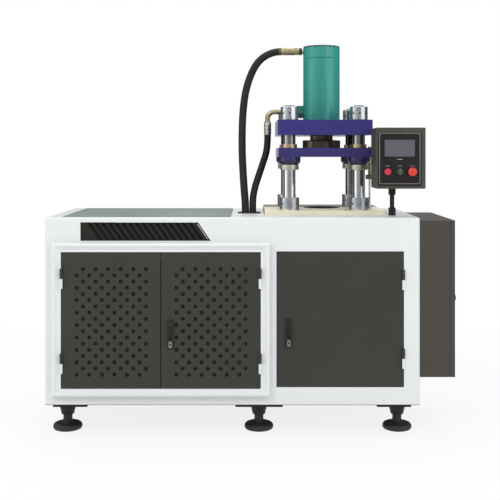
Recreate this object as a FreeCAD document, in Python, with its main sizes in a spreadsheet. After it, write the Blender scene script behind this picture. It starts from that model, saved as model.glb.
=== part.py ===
import FreeCAD, Part
import math
import os
import re
import Sketcher

# Hydraulic powder press on a sheet steel cabinet, as separate sub-parts in one frame.
# +X runs to the operator's right, +Y away from the operator and +Z up.
# The origin is on the floor, below the middle of the whole machine's box.

doc = FreeCAD.newDocument("powder_press")
sizes = doc.addObject("Spreadsheet::Sheet", "Sizes")
places = doc.addObject("App::VarSet", "Places")
known = {}
pieces = []
cuts = []

SIZES = [
    ("cab_depth", "600", "cabinet depth"),
    ("cab_base", "119", "cabinet underside above the floor"),
    ("cab_height", "726", "cabinet height"),
    ("sheet", "2", "panel sheet thickness"),
    ("corner_round", "12", "upright corner radius of the cabinet"),
    ("edge_round", "8", "top edge radius of the cabinet"),
    ("skirt", "12", "depth of the top cover's folded edge"),
    ("skirt_thick", "4", "thickness of the top cover's folded edge"),
    ("cover_skin", "3", "top cover thickness"),
    ("tube", "40", "frame tube side"),
    ("tube_wall", "3", "frame tube wall"),
    ("bearer", "50", "side of the two tubes under the bolster"),
    ("bearer_offset", "213", "bearer centre line from the press axis"),
    ("return_width", "15", "folded return at each rear edge"),
    ("louvre_width", "150", "rear louvre slot length"),
    ("louvre_height", "8", "rear louvre slot height"),
    ("louvre_pitch", "30", "rear louvre slot pitch"),
    ("door_sill", "69", "door openings above the cabinet underside"),
    ("door_height", "526", "door opening height"),
    ("door_gap", "2.5", "gap round each door"),
    ("door_thick", "18", "door pan depth"),
    ("door_skin", "1.5", "door skin thickness"),
    ("pair_left", "68", "left opening from the cabinet's left side"),
    ("pair_width", "769", "left opening width, two doors"),
    ("mid_width", "61", "sheet between the two openings"),
    ("single_width", "494", "right opening width"),
    ("end_width", "63", "sheet right of the right opening"),
    ("jamb_depth", "20", "folded jamb behind the right opening"),
    ("surround_side", "37", "door surround width at the sides"),
    ("surround_high", "36", "door surround width above"),
    ("surround_low", "30", "door surround width below"),
    ("surround_proud", "35", "door surround in front of the fascia"),
    ("land_drop", "10", "surround's slope down to the doors"),
    ("land_width", "9", "flat land beside the doors"),
    ("surround_round", "10", "outer edge radius of the surround"),
    ("hole_round", "7.9", "ventilation hole radius"),
    ("hole_pitch", "48.3", "ventilation hole pitch along a row"),
    ("row_pitch", "23.87", "ventilation row pitch"),
    ("hole_side", "59", "first hole from the door's left edge"),
    ("hole_top", "63", "first row below the door's top edge"),
    ("holes_across", "6", "holes in a row"),
    ("row_pairs", "9", "pairs of staggered rows"),
    ("vent_left", "140", "intake vent from the cabinet's left side"),
    ("vent_top", "455", "intake vent length along its top"),
    ("vent_slope", "48", "extra vent length along its bottom"),
    ("vent_rise", "42", "intake vent above the door openings"),
    ("vent_height", "70", "intake vent height"),
    ("vent_lap", "8", "grille frame behind the fascia"),
    ("slat_pitch", "26", "grille slat pitch"),
    ("slat_gap", "15", "grille slot width"),
    ("grille_thick", "6", "grille thickness"),
    ("mat_left", "65", "work mat from the cabinet's left side"),
    ("mat_width", "655", "work mat width"),
    ("mat_front", "31", "work mat behind the fascia"),
    ("mat_depth", "519", "work mat depth"),
    ("mat_thick", "3", "work mat thickness"),
    ("slot_beside", "72", "hose slot centre from the work mat's right side"),
    ("slot_back", "262", "hose slot centre behind the fascia"),
    ("slot_length", "86", "hose slot length"),
    ("slot_width", "42", "hose slot width"),
    ("grommet_rim", "5", "grommet rim width and height"),
    ("grommet_floor", "5", "grommet floor below the top cover's face"),
    ("grommet_depth", "12", "grommet floor thickness"),
    ("hose_gap", "30.5", "distance between the two hoses in the slot"),
    ("hose_wide", "31", "pressure hose diameter"),
    ("union_long", "95", "pressure hose start from the barrel"),
    ("return_left", "229.5", "return hose start from the press axis"),
    ("return_low", "58", "return hose start below the crown's top"),
    ("hose_slim", "28.5", "return hose diameter"),
    ("press_beside", "308", "press axis from the hose slot centre"),
    ("press_right", "355", "press axis from the cabinet's right side, at least"),
    ("press_back", "355", "press axis behind the fascia"),
    ("bolster_width", "490", "bolster width"),
    ("bolster_depth", "440", "bolster depth"),
    ("bolster_thick", "57", "bolster thickness"),
    ("die_round", "70", "die pocket radius"),
    ("die_deep", "30", "die pocket depth"),
    ("tool_ring", "170", "pitch circle of the tooling holes"),
    ("tool_round", "5.1", "tooling hole radius"),
    ("tool_deep", "25", "tooling hole depth"),
    ("column_gap", "285", "column spacing, both ways"),
    ("column_round", "25", "column radius"),
    ("spigot_round", "21", "column end radius"),
    ("column_free", "305", "column length between bolster and crown"),
    ("column_over", "5", "column end past its nut"),
    ("nut_round", "36", "column nut radius"),
    ("nut_height", "55", "column nut height"),
    ("grub_round", "4", "set screw hole radius"),
    ("collar_round", "40", "base collar radius"),
    ("collar_height", "50", "base collar height"),
    ("crown_width", "385", "crown width"),
    ("crown_depth", "400", "crown depth"),
    ("crown_thick", "62", "crown thickness"),
    ("barrel_round", "77.5", "cylinder outer radius"),
    ("bore_round", "62.5", "cylinder bore radius"),
    ("barrel_long", "265", "cylinder barrel length"),
    ("cap_thick", "53", "cylinder cap thickness"),
    ("cap_plug", "20", "cap spigot length"),
    ("groove", "2.2", "bevel each side of the joint below the cap"),
    ("gland_round", "58", "rod gland radius in the crown"),
    ("gland_lip", "12", "rod gland flange thickness"),
    ("bolt_ring", "70", "radius of the cylinder's screw circle"),
    ("bolt_round", "5", "cylinder screw radius"),
    ("bolt_head", "7.5", "cylinder screw head radius"),
    ("bolt_bite", "18", "screw length in the barrel"),
    ("bolt_sink", "11", "screw head recess depth"),
    ("port_rise", "32", "upper port above the cap's joint"),
    ("low_port_rise", "40", "lower port above the crown"),
    ("port_round", "8", "oil port radius"),
    ("rod_round", "48", "piston rod radius"),
    ("foot_round", "56", "piston rod foot radius"),
    ("foot_thick", "12", "piston rod foot thickness"),
    ("piston_long", "50", "piston length"),
    ("piston_rest", "5", "piston below the cap at rest"),
    ("flange_round", "80", "rod flange radius"),
    ("flange_thick", "33", "rod flange thickness"),
    ("platen_width", "378", "moving platen width"),
    ("platen_depth", "380", "moving platen depth"),
    ("platen_thick", "37", "moving platen thickness"),
    ("platen_low", "1079", "moving platen underside above the floor, at rest"),
    ("boss_round", "45.5", "guide boss radius"),
    ("boss_height", "32", "guide boss height"),
    ("boss_fillet", "16", "guide boss lower edge radius"),
    ("bush_round", "29", "guide bush radius"),
    ("bush_lip", "31.5", "guide bush flange radius"),
    ("bush_rise", "15", "guide bush flange thickness"),
    ("ring_round", "38", "retainer ring radius"),
    ("ring_height", "21", "retainer ring height"),
    ("fit", "0.05", "radial clearance of a running fit"),
    ("slack", "0.3", "clearance between parts that do not touch"),
    ("stroke_x", "198", "stroke sensor from the press axis"),
    ("stroke_y", "-55", "stroke sensor from the press axis, front to back"),
    ("stroke_round", "6.5", "sensor tube radius"),
    ("stroke_bore", "4.6", "sensor tube bore radius"),
    ("stroke_pin", "4", "sensor rod radius"),
    ("stroke_drop", "94", "sensor tube below the platen"),
    ("clamp_width", "30", "sensor clamp width"),
    ("clamp_height", "19", "sensor clamp height"),
    ("ram_round", "25", "ejector rod radius"),
    ("ram_hole", "27", "ejector hole radius in the bolster"),
    ("ejector_round", "55", "ejector cylinder radius"),
    ("ejector_bore", "40", "ejector bore radius"),
    ("ejector_long", "243", "ejector cylinder length"),
    ("ejector_flange", "75", "ejector flange radius"),
    ("knuckle_round", "5.7", "hinge knuckle radius"),
    ("knuckle_long", "38", "hinge knuckle length"),
    ("knuckle_clear", "0.6", "hinge knuckle in front of the door"),
    ("pin_round", "3", "hinge pin radius"),
    ("hinge_low", "98", "lower hinges above the door sill"),
    ("hinge_high", "424", "upper hinges above the door sill"),
    ("latch_width", "28", "latch plate width"),
    ("latch_height", "110", "latch plate height"),
    ("latch_thick", "6", "latch plate thickness"),
    ("latch_rise", "209", "latch centre above the door sill"),
    ("latch_side", "36", "latch centre from the door's free edge"),
    ("single_side", "45", "right door's latch centre from its free edge"),
    ("lever_width", "14", "latch lever width"),
    ("lever_long", "64", "latch lever length"),
    ("lever_thick", "9", "latch lever thickness"),
    ("lever_proud", "6", "latch lever in front of its plate"),
    ("lock_round", "4.5", "lock barrel radius"),
    ("lock_drop", "37", "lock barrel below the latch centre"),
    ("cam_long", "52", "lock cam length"),
    ("cam_thick", "3", "lock cam thickness"),
    ("box_low", "104", "electrical box above the cabinet underside"),
    ("box_height", "610", "electrical box height"),
    ("box_front", "15", "electrical box behind the fascia"),
    ("box_long", "480", "electrical box depth"),
    ("box_thick", "118", "electrical box body thickness"),
    ("box_door", "20", "electrical box door thickness"),
    ("box_lip", "15", "electrical box inner lip"),
    ("box_lock", "7", "electrical box lock in front of its door"),
    ("foot_left", "71", "left feet from the cabinet's left side"),
    ("foot_middle", "6", "middle feet from the left opening's right side"),
    ("foot_right", "75", "right feet from the cabinet's right side"),
    ("foot_edge", "98", "feet from the front and rear"),
    ("plate_width", "135", "outer foot bracket width"),
    ("plate_middle", "186", "middle foot bracket width"),
    ("plate_shift", "21", "outer foot bracket shift to the middle"),
    ("plate_depth", "135", "foot bracket depth"),
    ("plate_thick", "16", "foot bracket thickness"),
    ("socket_drop", "43", "foot socket height"),
    ("socket_round", "33", "foot socket radius at its top"),
    ("socket_end", "25", "foot socket radius at its bottom"),
    ("neck_round", "18", "foot neck radius"),
    ("pad_round", "57.5", "foot pad radius"),
    ("pad_height", "27", "foot pad height"),
    ("post_right", "89", "panel post from the cabinet's right side"),
    ("post_back", "131", "panel post behind the fascia"),
    ("post_round", "9", "panel post radius"),
    ("post_foot", "14.5", "panel post foot and collar radius"),
    ("panel_right", "170", "control panel's left side from the cabinet's right side"),
    ("panel_front", "12", "control panel front behind the fascia"),
    ("panel_low", "111", "control panel above the cabinet top"),
    ("panel_width", "193", "control panel width"),
    ("panel_deep", "139", "control panel depth"),
    ("panel_tall", "238", "control panel height"),
    ("panel_wall", "4", "control panel wall"),
    ("face_width", "169", "faceplate width"),
    ("face_tall", "207", "faceplate height"),
    ("face_thick", "3", "faceplate thickness"),
    ("screen_width", "119", "screen width"),
    ("screen_tall", "67", "screen height"),
    ("screen_rise", "158", "screen centre above the panel's underside"),
    ("face_left", "4", "faceplate off the panel's middle, to the left"),
    ("face_low", "5", "faceplate off the panel's middle, downwards"),
    ("button_rise", "66", "buttons above the panel's underside"),
    ("button_gap", "47", "button spacing"),
    ("button_bore", "11", "button hole radius"),
    ("tank_left", "110", "oil tank from the cabinet's left side"),
    ("tank_past", "38", "oil tank past the hose slot centre"),
    ("tank_front", "130", "oil tank behind the fascia"),
    ("tank_deep", "350", "oil tank depth"),
    ("tank_tall", "300", "oil tank height"),
    ("tank_wall", "4", "oil tank wall"),
    ("lid_thick", "6", "oil tank lid thickness"),
    ("motor_left", "140", "motor from the cabinet's left side"),
    ("motor_back", "230", "motor axis behind the fascia"),
    ("motor_round", "90", "motor radius"),
    ("motor_long", "240", "motor length"),
    ("motor_foot", "12", "motor foot thickness"),
    ("cowl_long", "55", "fan cowl length"),
    ("shaft_round", "14", "motor shaft radius"),
    ("bell_long", "80", "bell housing length"),
    ("bell_round", "75", "bell housing radius"),
    ("pump_long", "110", "pump length"),
    ("pump_round", "50", "pump radius"),
    ("manifold_tall", "93", "valve manifold height"),
]

PLACES = [
    ("right_reach", "box_thick + box_door + box_lock"),
    ("slot_left", "mat_left + mat_width + slot_beside"),
    ("press_left", "slot_left + press_beside"),
    ("front_width", "pair_left + pair_width + mid_width + single_width + end_width"),
    ("cab_width", "max(front_width; press_left + press_right)"),
    ("left_x", "-(cab_width + right_reach) / 2"),
    ("right_x", "left_x + cab_width"),
    ("hinge_reach", "knuckle_clear + 2 * knuckle_round"),
    ("lever_reach", "latch_thick + lever_proud"),
    ("front_reach", "max(surround_proud; surround_proud - land_drop + max(hinge_reach; lever_reach))"),
    ("face_y", "(front_reach - cab_depth) / 2"),
    ("back_y", "face_y + cab_depth"),
    ("land_y", "face_y - surround_proud + land_drop"),
    ("cover_y", "back_y - sheet"),
    ("top_z", "cab_base + cab_height"),
    ("skirt_z", "top_z - skirt"),
    ("rail_z", "cab_base + sheet"),
    ("rail_top", "rail_z + tube"),
    ("sill_z", "cab_base + door_sill"),
    ("lintel_z", "sill_z + door_height"),
    ("header_z", "lintel_z + sheet"),
    ("header_top", "header_z + tube"),
    ("post_top", "top_z - cover_skin - tube"),
    ("pair_x", "left_x + pair_left"),
    ("pair_end", "pair_x + pair_width"),
    ("single_x", "pair_end + mid_width"),
    ("single_end", "single_x + single_width"),
    ("pair_door", "(pair_width - 3 * door_gap) / 2"),
    ("mid_post", "(pair_end + single_x - tube) / 2"),
    ("left_post", "left_x + corner_round"),
    ("right_post", "right_x - corner_round - tube"),
    ("frame_y", "face_y + sheet"),
    ("frame_end", "cover_y - sheet"),
    ("vent_x", "left_x + vent_left"),
    ("vent_z", "lintel_z + vent_rise"),
    ("slot_x", "left_x + slot_left"),
    ("slot_y", "face_y + slot_back"),
    ("plug_z", "top_z - grommet_floor"),
    ("press_x", "left_x + press_left"),
    ("press_y", "face_y + press_back"),
    ("bolster_z", "header_top + bearer"),
    ("bed_z", "bolster_z + bolster_thick"),
    ("crown_z", "bed_z + column_free"),
    ("crown_top", "crown_z + crown_thick"),
    ("cap_z", "crown_top + barrel_long"),
    ("cap_top", "cap_z + cap_thick"),
    ("platen_top", "platen_low + platen_thick"),
    ("boss_z", "platen_low - boss_height"),
    ("half_gap", "column_gap / 2"),
    ("fitted_spigot", "spigot_round + fit"),
    ("piston_top", "cap_z - cap_plug - piston_rest"),
    ("pocket_z", "bed_z - die_deep"),
    ("ejector_z", "bolster_z - ejector_long"),
    ("hinge_y", "knuckle_clear + knuckle_round"),
    ("box_z", "cab_base + box_low"),
    ("box_y", "face_y + box_front"),
    ("seam_x", "right_x + box_thick"),
    ("post_x", "right_x - post_right"),
    ("post_y", "face_y + post_back"),
    ("panel_x", "right_x - panel_right"),
    ("panel_y", "face_y + panel_front"),
    ("panel_z", "top_z + panel_low"),
    ("panel_mid", "panel_x + panel_width / 2 - face_left"),
    ("button_z", "panel_z + button_rise"),
    ("tank_x", "left_x + tank_left"),
    ("tank_y", "face_y + tank_front"),
    ("tank_top", "rail_top + tank_tall"),
    ("lid_top", "tank_top + lid_thick"),
    ("motor_x", "left_x + motor_left"),
    ("motor_y", "face_y + motor_back"),
    ("motor_z", "lid_top + motor_foot + motor_round"),
    ("bell_x", "motor_x + cowl_long + motor_long"),
    ("pump_x", "bell_x + bell_long"),
    ("manifold_top", "lid_top + manifold_tall"),
]


def linked(formula):
    """The formula with every known name turned into its cell or place."""
    return re.sub(r"[a-z]\w*", lambda word: known.get(word.group(), word.group()), str(formula))


def drive(obj, prop, formula):
    obj.setExpression(prop, linked(formula))


def fill_tables():
    for row, (alias, value, meaning) in enumerate(SIZES, 1):
        sizes.set("A%d" % row, meaning)
        sizes.set("B%d" % row, value)
        sizes.setAlias("B%d" % row, alias)
        known[alias] = "Sizes." + alias
    for name, formula in PLACES:
        places.addProperty("App::PropertyFloat", name)
        drive(places, name, formula)
        known[name] = "Places." + name
    doc.recompute()


TURN = {
    "x": FreeCAD.Rotation(FreeCAD.Vector(0, 1, 0), 90),
    "y": FreeCAD.Rotation(FreeCAD.Vector(1, 0, 0), -90),
    "z": FreeCAD.Rotation(),
    "-x": FreeCAD.Rotation(FreeCAD.Vector(0, 1, 0), -90),
    "-y": FreeCAD.Rotation(FreeCAD.Vector(1, 0, 0), 90),
    "-z": FreeCAD.Rotation(FreeCAD.Vector(1, 0, 0), 180),
}


def seat(obj, base, axis="z"):
    """Turn an object's own Z onto an axis and tie its base point to three formulas."""
    obj.Placement = FreeCAD.Placement(FreeCAD.Vector(), TURN[axis])
    for letter, formula in zip("xyz", base):
        drive(obj, "Placement.Base." + letter, formula)
    return obj


def block(name, low, high):
    """Box between two corners."""
    obj = doc.addObject("Part::Box", name)
    for side, start, end in zip(("Length", "Width", "Height"), low, high):
        drive(obj, side, "(%s) - (%s)" % (end, start))
    return seat(obj, low)


def rod(name, base, radius, length, axis="z"):
    obj = doc.addObject("Part::Cylinder", name)
    drive(obj, "Radius", radius)
    drive(obj, "Height", length)
    return seat(obj, base, axis)


def cone(name, base, radius, end_radius, length, axis="z"):
    obj = doc.addObject("Part::Cone", name)
    drive(obj, "Radius1", radius)
    drive(obj, "Radius2", end_radius)
    drive(obj, "Height", length)
    return seat(obj, base, axis)


def cut(name, base, tools):
    """Base less its tools."""
    obj = doc.addObject("Part::Cut", name)
    obj.Base = base
    obj.Tool = tools[0] if len(tools) == 1 else group(name + "_tools", tools)
    cuts.append((obj, base))
    return obj


def join(name, parts):
    obj = doc.addObject("Part::MultiFuse", name)
    obj.Shapes = parts
    obj.Refine = True
    return obj


def group(name, parts):
    """Separate solids kept together."""
    obj = doc.addObject("Part::Compound", name)
    obj.Links = parts
    return obj


def piece(label, obj):
    obj.Label = label
    pieces.append(obj)
    return obj


def new_body(name, base=("0", "0", "0"), axis="z"):
    return seat(doc.addObject("PartDesign::Body", name), base, axis)


def sketch(body, name, role, offset="0"):
    """Sketch on one of a body's own origin planes, moved along the plane's normal."""
    sheet = body.newObject("Sketcher::SketchObject", name)
    plane = [face for face in body.Origin.OriginFeatures if face.Role == role][0]
    sheet.AttachmentSupport = [(plane, "")]
    sheet.MapMode = "FlatFace"
    drive(sheet, "AttachmentOffset.Base.z", offset)
    return sheet


def fix(sheet, kind, index, point, start, formula):
    number = sheet.addConstraint(Sketcher.Constraint(kind, index, point, start))
    drive(sheet, "Constraints[%d]" % number, formula)


def outline(sheet, points):
    """Closed straight outline through points given as pairs of formulas."""
    first = sheet.GeometryCount
    count = len(points)
    start = []
    for index in range(count):
        angle = 2 * math.pi * index / count
        start.append(FreeCAD.Vector(100 + 50 * math.cos(angle), 100 + 50 * math.sin(angle), 0))
    lines = [Part.LineSegment(start[index], start[(index + 1) % count]) for index in range(count)]
    sheet.addGeometry(lines, False)
    for index in range(count):
        follow = first + (index + 1) % count
        sheet.addConstraint(Sketcher.Constraint("Coincident", first + index, 2, follow, 1))
    for index, (across, along) in enumerate(points):
        fix(sheet, "DistanceX", first + index, 1, start[index].x, across)
        fix(sheet, "DistanceY", first + index, 1, start[index].y, along)


def rectangle(sheet, low, high):
    outline(sheet, [(low[0], low[1]), (high[0], low[1]), (high[0], high[1]), (low[0], high[1])])


def circle(sheet, centre, radius):
    index = sheet.addGeometry(Part.Circle(FreeCAD.Vector(50, 50, 0), FreeCAD.Vector(0, 0, 1), 10))
    fix(sheet, "DistanceX", index, 3, 50, centre[0])
    fix(sheet, "DistanceY", index, 3, 50, centre[1])
    number = sheet.addConstraint(Sketcher.Constraint("Radius", index, 10))
    drive(sheet, "Constraints[%d]" % number, radius)


def pad(body, sheet, length, backwards=False):
    feature = body.newObject("PartDesign::Pad", sheet.Name + "_pad")
    feature.Profile = sheet
    feature.Reversed = backwards
    drive(feature, "Length", length)
    return feature


def pocket(body, sheet, length):
    """Pocket from a sketch, away from its normal."""
    feature = body.newObject("PartDesign::Pocket", sheet.Name + "_pocket")
    feature.Profile = sheet
    drive(feature, "Length", length)
    cuts.append((feature, feature.BaseFeature))
    return feature


def revolve(body, sheet):
    feature = body.newObject("PartDesign::Revolution", sheet.Name + "_turn")
    feature.Profile = sheet
    feature.ReferenceAxis = (sheet, ["V_Axis"])
    feature.Angle = 360
    return feature


def turned(name, base, profile, axis="z"):
    """Turned piece: its profile is a list of radius and distance along the axis."""
    body = new_body(name, base, axis)
    sheet = sketch(body, name + "_profile", "XZ_Plane")
    outline(sheet, profile)
    revolve(body, sheet)
    return body


def ring(name, base, inner, outer, length, axis="z"):
    return turned(name, base, [(inner, "0"), (outer, "0"), (outer, length), (inner, length)], axis)


def straight_edges(feature, direction, test=lambda centre: True):
    """Names of the straight edges along a direction whose centre passes a test."""
    doc.recompute()
    found = []
    for number, edge in enumerate(feature.Shape.Edges, 1):
        if edge.Curve.TypeId != "Part::GeomLine":
            continue
        if abs(edge.tangentAt(edge.FirstParameter).dot(direction)) > 0.999 and test(edge.CenterOfMass):
            found.append("Edge%d" % number)
    return found


def edges_where(feature, test):
    """Names of the edges whose bounding box passes a test."""
    doc.recompute()
    return ["Edge%d" % number for number, edge in enumerate(feature.Shape.Edges, 1) if test(edge.BoundBox)]


def round_edges(body, feature, names, radius):
    fillet = body.newObject("PartDesign::Fillet", feature.Name + "_round")
    fillet.Base = (feature, names)
    drive(fillet, "Radius", radius)
    return fillet


def bevel_edges(body, feature, names, length):
    bevel = body.newObject("PartDesign::Chamfer", feature.Name + "_bevel")
    bevel.Base = (feature, names)
    drive(bevel, "Size", length)
    return bevel


UP = FreeCAD.Vector(0, 0, 1)
ACROSS = FreeCAD.Vector(1, 0, 0)
ALONG = FreeCAD.Vector(0, 1, 0)
CORNERS = [("-", "-"), ("", "-"), ("", ""), ("-", "")]


def column_places():
    """The four column axes, each as a pair of formulas."""
    return [("press_x + %shalf_gap" % side, "press_y + %shalf_gap" % end) for side, end in CORNERS]


def around(count, radius, centre=("press_x", "press_y")):
    """Points on a circle as pairs of formulas."""
    points = []
    for step in range(count):
        turn = "%d * %d deg" % (step, 360 // count)
        points.append(("%s + (%s) * cos(%s)" % (centre[0], radius, turn),
                       "%s + (%s) * sin(%s)" % (centre[1], radius, turn)))
    return points


def bores(name, places_xy, low, radius, length):
    """Upright round tools at several places."""
    return [rod("%s_%d" % (name, step), (x, y, low), radius, length)
            for step, (x, y) in enumerate(places_xy)]


def rounded_block(name, low, high, radius, direction):
    """Block between two corners with its four edges along a direction rounded."""
    body = new_body(name, low)
    spans = ["(%s) - (%s)" % (end, start) for start, end in zip(low, high)]
    sheet = sketch(body, name + "_plan", "XY_Plane")
    rectangle(sheet, ("0", "0"), (spans[0], spans[1]))
    plain = pad(body, sheet, spans[2])
    round_edges(body, plain, straight_edges(plain, direction), radius)
    return body


def square_tube(name, low, high, letter):
    """Square tube, open at both ends along one direction."""
    inner_low = []
    inner_high = []
    for axis, start, end in zip("xyz", low, high):
        wall = "" if axis == letter else " + tube_wall"
        inner_low.append("(%s)%s" % (start, wall))
        inner_high.append("(%s)%s" % (end, wall.replace("+", "-")))
    return cut(name, block(name + "_outer", low, high), [block(name + "_inner", inner_low, inner_high)])


def slot_block(name, centre, low, length, width, height):
    """Flat block with round ends, lying along X."""
    reach = "((%s) - (%s)) / 2" % (length, width)
    half = "(%s) / 2" % width
    middle = block(name + "_middle",
                   (centre[0] + " - " + reach, centre[1] + " - " + half, low),
                   (centre[0] + " + " + reach, centre[1] + " + " + half, "(%s) + (%s)" % (low, height)))
    ends = [rod(name + "_end" + side, (centre[0] + sign + reach, centre[1], low), half, height)
            for side, sign in (("_a", " - "), ("_b", " + "))]
    return join(name, [middle] + ends)


# Frame and cabinet


def make_tube_frame():
    tubes = []
    inset = "frame_y + grille_thick + 2"
    posts = (("left", "left_post", "post_top"), ("middle", "mid_post", "header_z"), ("right", "right_post", "post_top"))
    for name, x, top in posts:
        tubes.append(square_tube(name + "_front_post", (x, "frame_y", "rail_top"),
                                 (x + " + tube", "frame_y + tube", top), "z"))
        tubes.append(square_tube(name + "_rear_post", (x, "frame_end - tube", "rail_top"),
                                 (x + " + tube", "frame_end", top), "z"))
        tubes.append(square_tube(name + "_foot_rail", (x, "frame_y + tube", "rail_z"),
                                 (x + " + tube", "frame_end - tube", "rail_top"), "y"))
    for name, y in (("front", "frame_y"), ("rear", "frame_end - tube")):
        tubes.append(square_tube(name + "_rail", ("left_post", y, "rail_z"),
                                 ("right_post + tube", y + " + tube", "rail_top"), "x"))
    for name, y in (("front", inset), ("rear", "frame_end - tube")):
        tubes.append(square_tube(name + "_header", ("left_post + tube", y, "header_z"),
                                 ("right_post", y + " + tube", "header_top"), "x"))
    for name, x in (("left", "left_post"), ("right", "right_post")):
        tubes.append(square_tube(name + "_top_rail", (x, "face_y + skirt_thick", "post_top"),
                                 (x + " + tube", "frame_end", "post_top + tube"), "y"))
    for name, sign in (("left", "-"), ("right", "+")):
        x = "press_x %s bearer_offset - bearer / 2" % sign
        tubes.append(square_tube(name + "_bearer", (x, inset, "header_top"),
                                 (x + " + bearer", "frame_end", "bolster_z"), "y"))
    piece("tube_frame", group("tube_frame", tubes))


def make_floor_pan():
    piece("floor_pan", rounded_block("floor_pan", ("left_x", "face_y", "cab_base"),
                                     ("right_x", "back_y", "rail_z"), "corner_round", UP))


def make_top_cover():
    shell = rounded_block("cover_shell", ("left_x", "face_y", "skirt_z"),
                          ("right_x", "back_y", "top_z"), "corner_round", UP)
    rim = edges_where(shell.Tip, lambda box: box.ZMin > places.top_z - places.skirt_z - 0.01)
    round_edges(shell, shell.Tip, rim, "edge_round")
    hollow = rounded_block("cover_hollow", ("left_x + skirt_thick", "face_y + skirt_thick", "skirt_z"),
                           ("right_x - skirt_thick", "back_y - skirt_thick", "top_z - cover_skin"),
                           "corner_round - skirt_thick", UP)
    reach = ("bolster_width / 2 + 2", "bolster_depth / 2 + 2")
    window = block("cover_window",
                   ("press_x - (%s)" % reach[0], "press_y - (%s)" % reach[1], "skirt_z"),
                   ("press_x + " + reach[0], "press_y + " + reach[1], "top_z"))
    slot = slot_block("cover_slot", ("slot_x", "slot_y"), "skirt_z", "slot_length", "slot_width", "skirt")
    piece("top_cover", cut("top_cover", shell, [hollow, window, slot]))


def make_front_fascia():
    body = new_body("fascia_sheet")
    front = sketch(body, "fascia_plan", "XZ_Plane", "-face_y")
    rectangle(front, ("left_x + corner_round", "rail_z"), ("right_x - corner_round", "skirt_z"))
    rectangle(front, ("pair_x", "sill_z"), ("pair_end", "lintel_z"))
    rectangle(front, ("single_x", "sill_z"), ("single_end", "lintel_z"))
    outline(front, [("vent_x", "vent_z"), ("vent_x + vent_top + vent_slope", "vent_z"),
                    ("vent_x + vent_top", "vent_z + vent_height"), ("vent_x", "vent_z + vent_height")])
    pad(body, front, "sheet", True)
    jamb = block("jamb_outer", ("single_x - sheet", "face_y + sheet", "sill_z - sheet"),
                 ("single_end + sheet", "face_y + jamb_depth", "lintel_z + sheet"))
    clear = block("jamb_inner", ("single_x", "face_y + sheet", "sill_z"),
                  ("single_end", "face_y + jamb_depth", "lintel_z"))
    piece("front_fascia", join("front_fascia", [body, cut("jamb", jamb, [clear])]))


def make_side_panels():
    shells = []
    for side, low, high in (("left", "left_x", "left_x + %s"), ("right", "right_x - %s", "right_x")):
        outer = rounded_block(side + "_shell", ("left_x", "face_y", "rail_z"),
                              ("right_x", "back_y", "skirt_z"), "corner_round", UP)
        inner = rounded_block(side + "_space", ("left_x + sheet", "face_y + sheet", "rail_z"),
                              ("right_x - sheet", "back_y - sheet", "skirt_z"), "corner_round - sheet", UP)
        shell = cut(side + "_wall", outer, [inner])
        spans = []
        for end, start_y, reach in (("front", "face_y", "corner_round"),
                                    ("rear", "back_y - sheet", "(corner_round + return_width)")):
            spans.append(block("%s_%s_span" % (side, end),
                               (low.replace("%s", reach), start_y, "rail_z"),
                               (high.replace("%s", reach), "back_y", "skirt_z")))
        keep = doc.addObject("Part::Common", side + "_panel")
        keep.Base = shell
        keep.Tool = join(side + "_span", spans)
        shells.append(keep)
    piece("side_panels", group("side_panels", shells))


def make_rear_covers():
    plates = []
    middle = "mid_post + tube / 2"
    for side, start, end in (("left", "left_x + corner_round + 1", middle + " - 1"),
                             ("right", middle + " + 1", "right_x - corner_round - 1")):
        body = new_body(side + "_cover")
        plan = sketch(body, side + "_cover_plan", "XZ_Plane", "-frame_end")
        rectangle(plan, (start, "rail_z + 1"), (end, "skirt_z - 1"))
        pad(body, plan, "sheet", True)
        centre = "((%s) + (%s)) / 2" % (start, end)
        slots = sketch(body, side + "_louvres", "XZ_Plane", "-frame_end")
        for offset in ("-louvre_width - 10", "10"):
            rectangle(slots, ("%s + (%s)" % (centre, offset), "cab_base + 380"),
                      ("%s + (%s) + louvre_width" % (centre, offset), "cab_base + 380 + louvre_height"))
        first = pocket(body, slots, "sheet")
        rows = body.newObject("PartDesign::LinearPattern", side + "_rows")
        rows.Originals = [first]
        rows.Direction = (slots, ["V_Axis"])
        drive(rows, "Length", "louvre_pitch * 9")
        rows.Occurrences = 10
        body.Tip = rows
        plates.append(body)
    piece("rear_covers", group("rear_covers", plates))


def make_door_surround():
    low = ("pair_x - surround_side", "face_y - surround_proud", "sill_z - surround_low")
    high = ("pair_end + surround_side", "face_y", "lintel_z + surround_high")
    body = rounded_block("surround_blank", low, high, "4", ALONG)
    rim = edges_where(body.Tip, lambda box: box.YMax < 0.01)
    round_edges(body, body.Tip, rim, "surround_round")
    clear = block("surround_clear", ("pair_x", low[1], "sill_z"), ("pair_end", "face_y", "lintel_z"))
    slope = doc.addObject("Part::Wedge", "surround_slope")
    wide = "surround_round + 2"
    spans = {
        "Xmin": low[0] + " + " + wide, "Xmax": high[0] + " - (%s)" % wide,
        "Zmin": low[2] + " + " + wide, "Zmax": high[2] + " - (%s)" % wide,
        "X2min": "pair_x - land_width", "X2max": "pair_end + land_width",
        "Z2min": "sill_z - land_width", "Z2max": "lintel_z + land_width",
        "Ymin": low[1], "Ymax": "land_y",
    }
    for prop, formula in spans.items():
        drive(slope, prop, formula)
    pocket_outer = block("surround_pocket_outer",
                         tuple("%s + 4" % value for value in (low[0], "face_y - 26", low[2])),
                         (high[0] + " - 4", "face_y", high[2] + " - 4"))
    pocket_inner = block("surround_pocket_inner", ("pair_x - 3", "face_y - 22", "sill_z - 3"),
                         ("pair_end + 3", "face_y", "lintel_z + 3"))
    pocket_ring = cut("surround_pocket", pocket_outer, [pocket_inner])
    piece("door_surround", cut("door_surround", body, [clear, slope, pocket_ring]))


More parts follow.
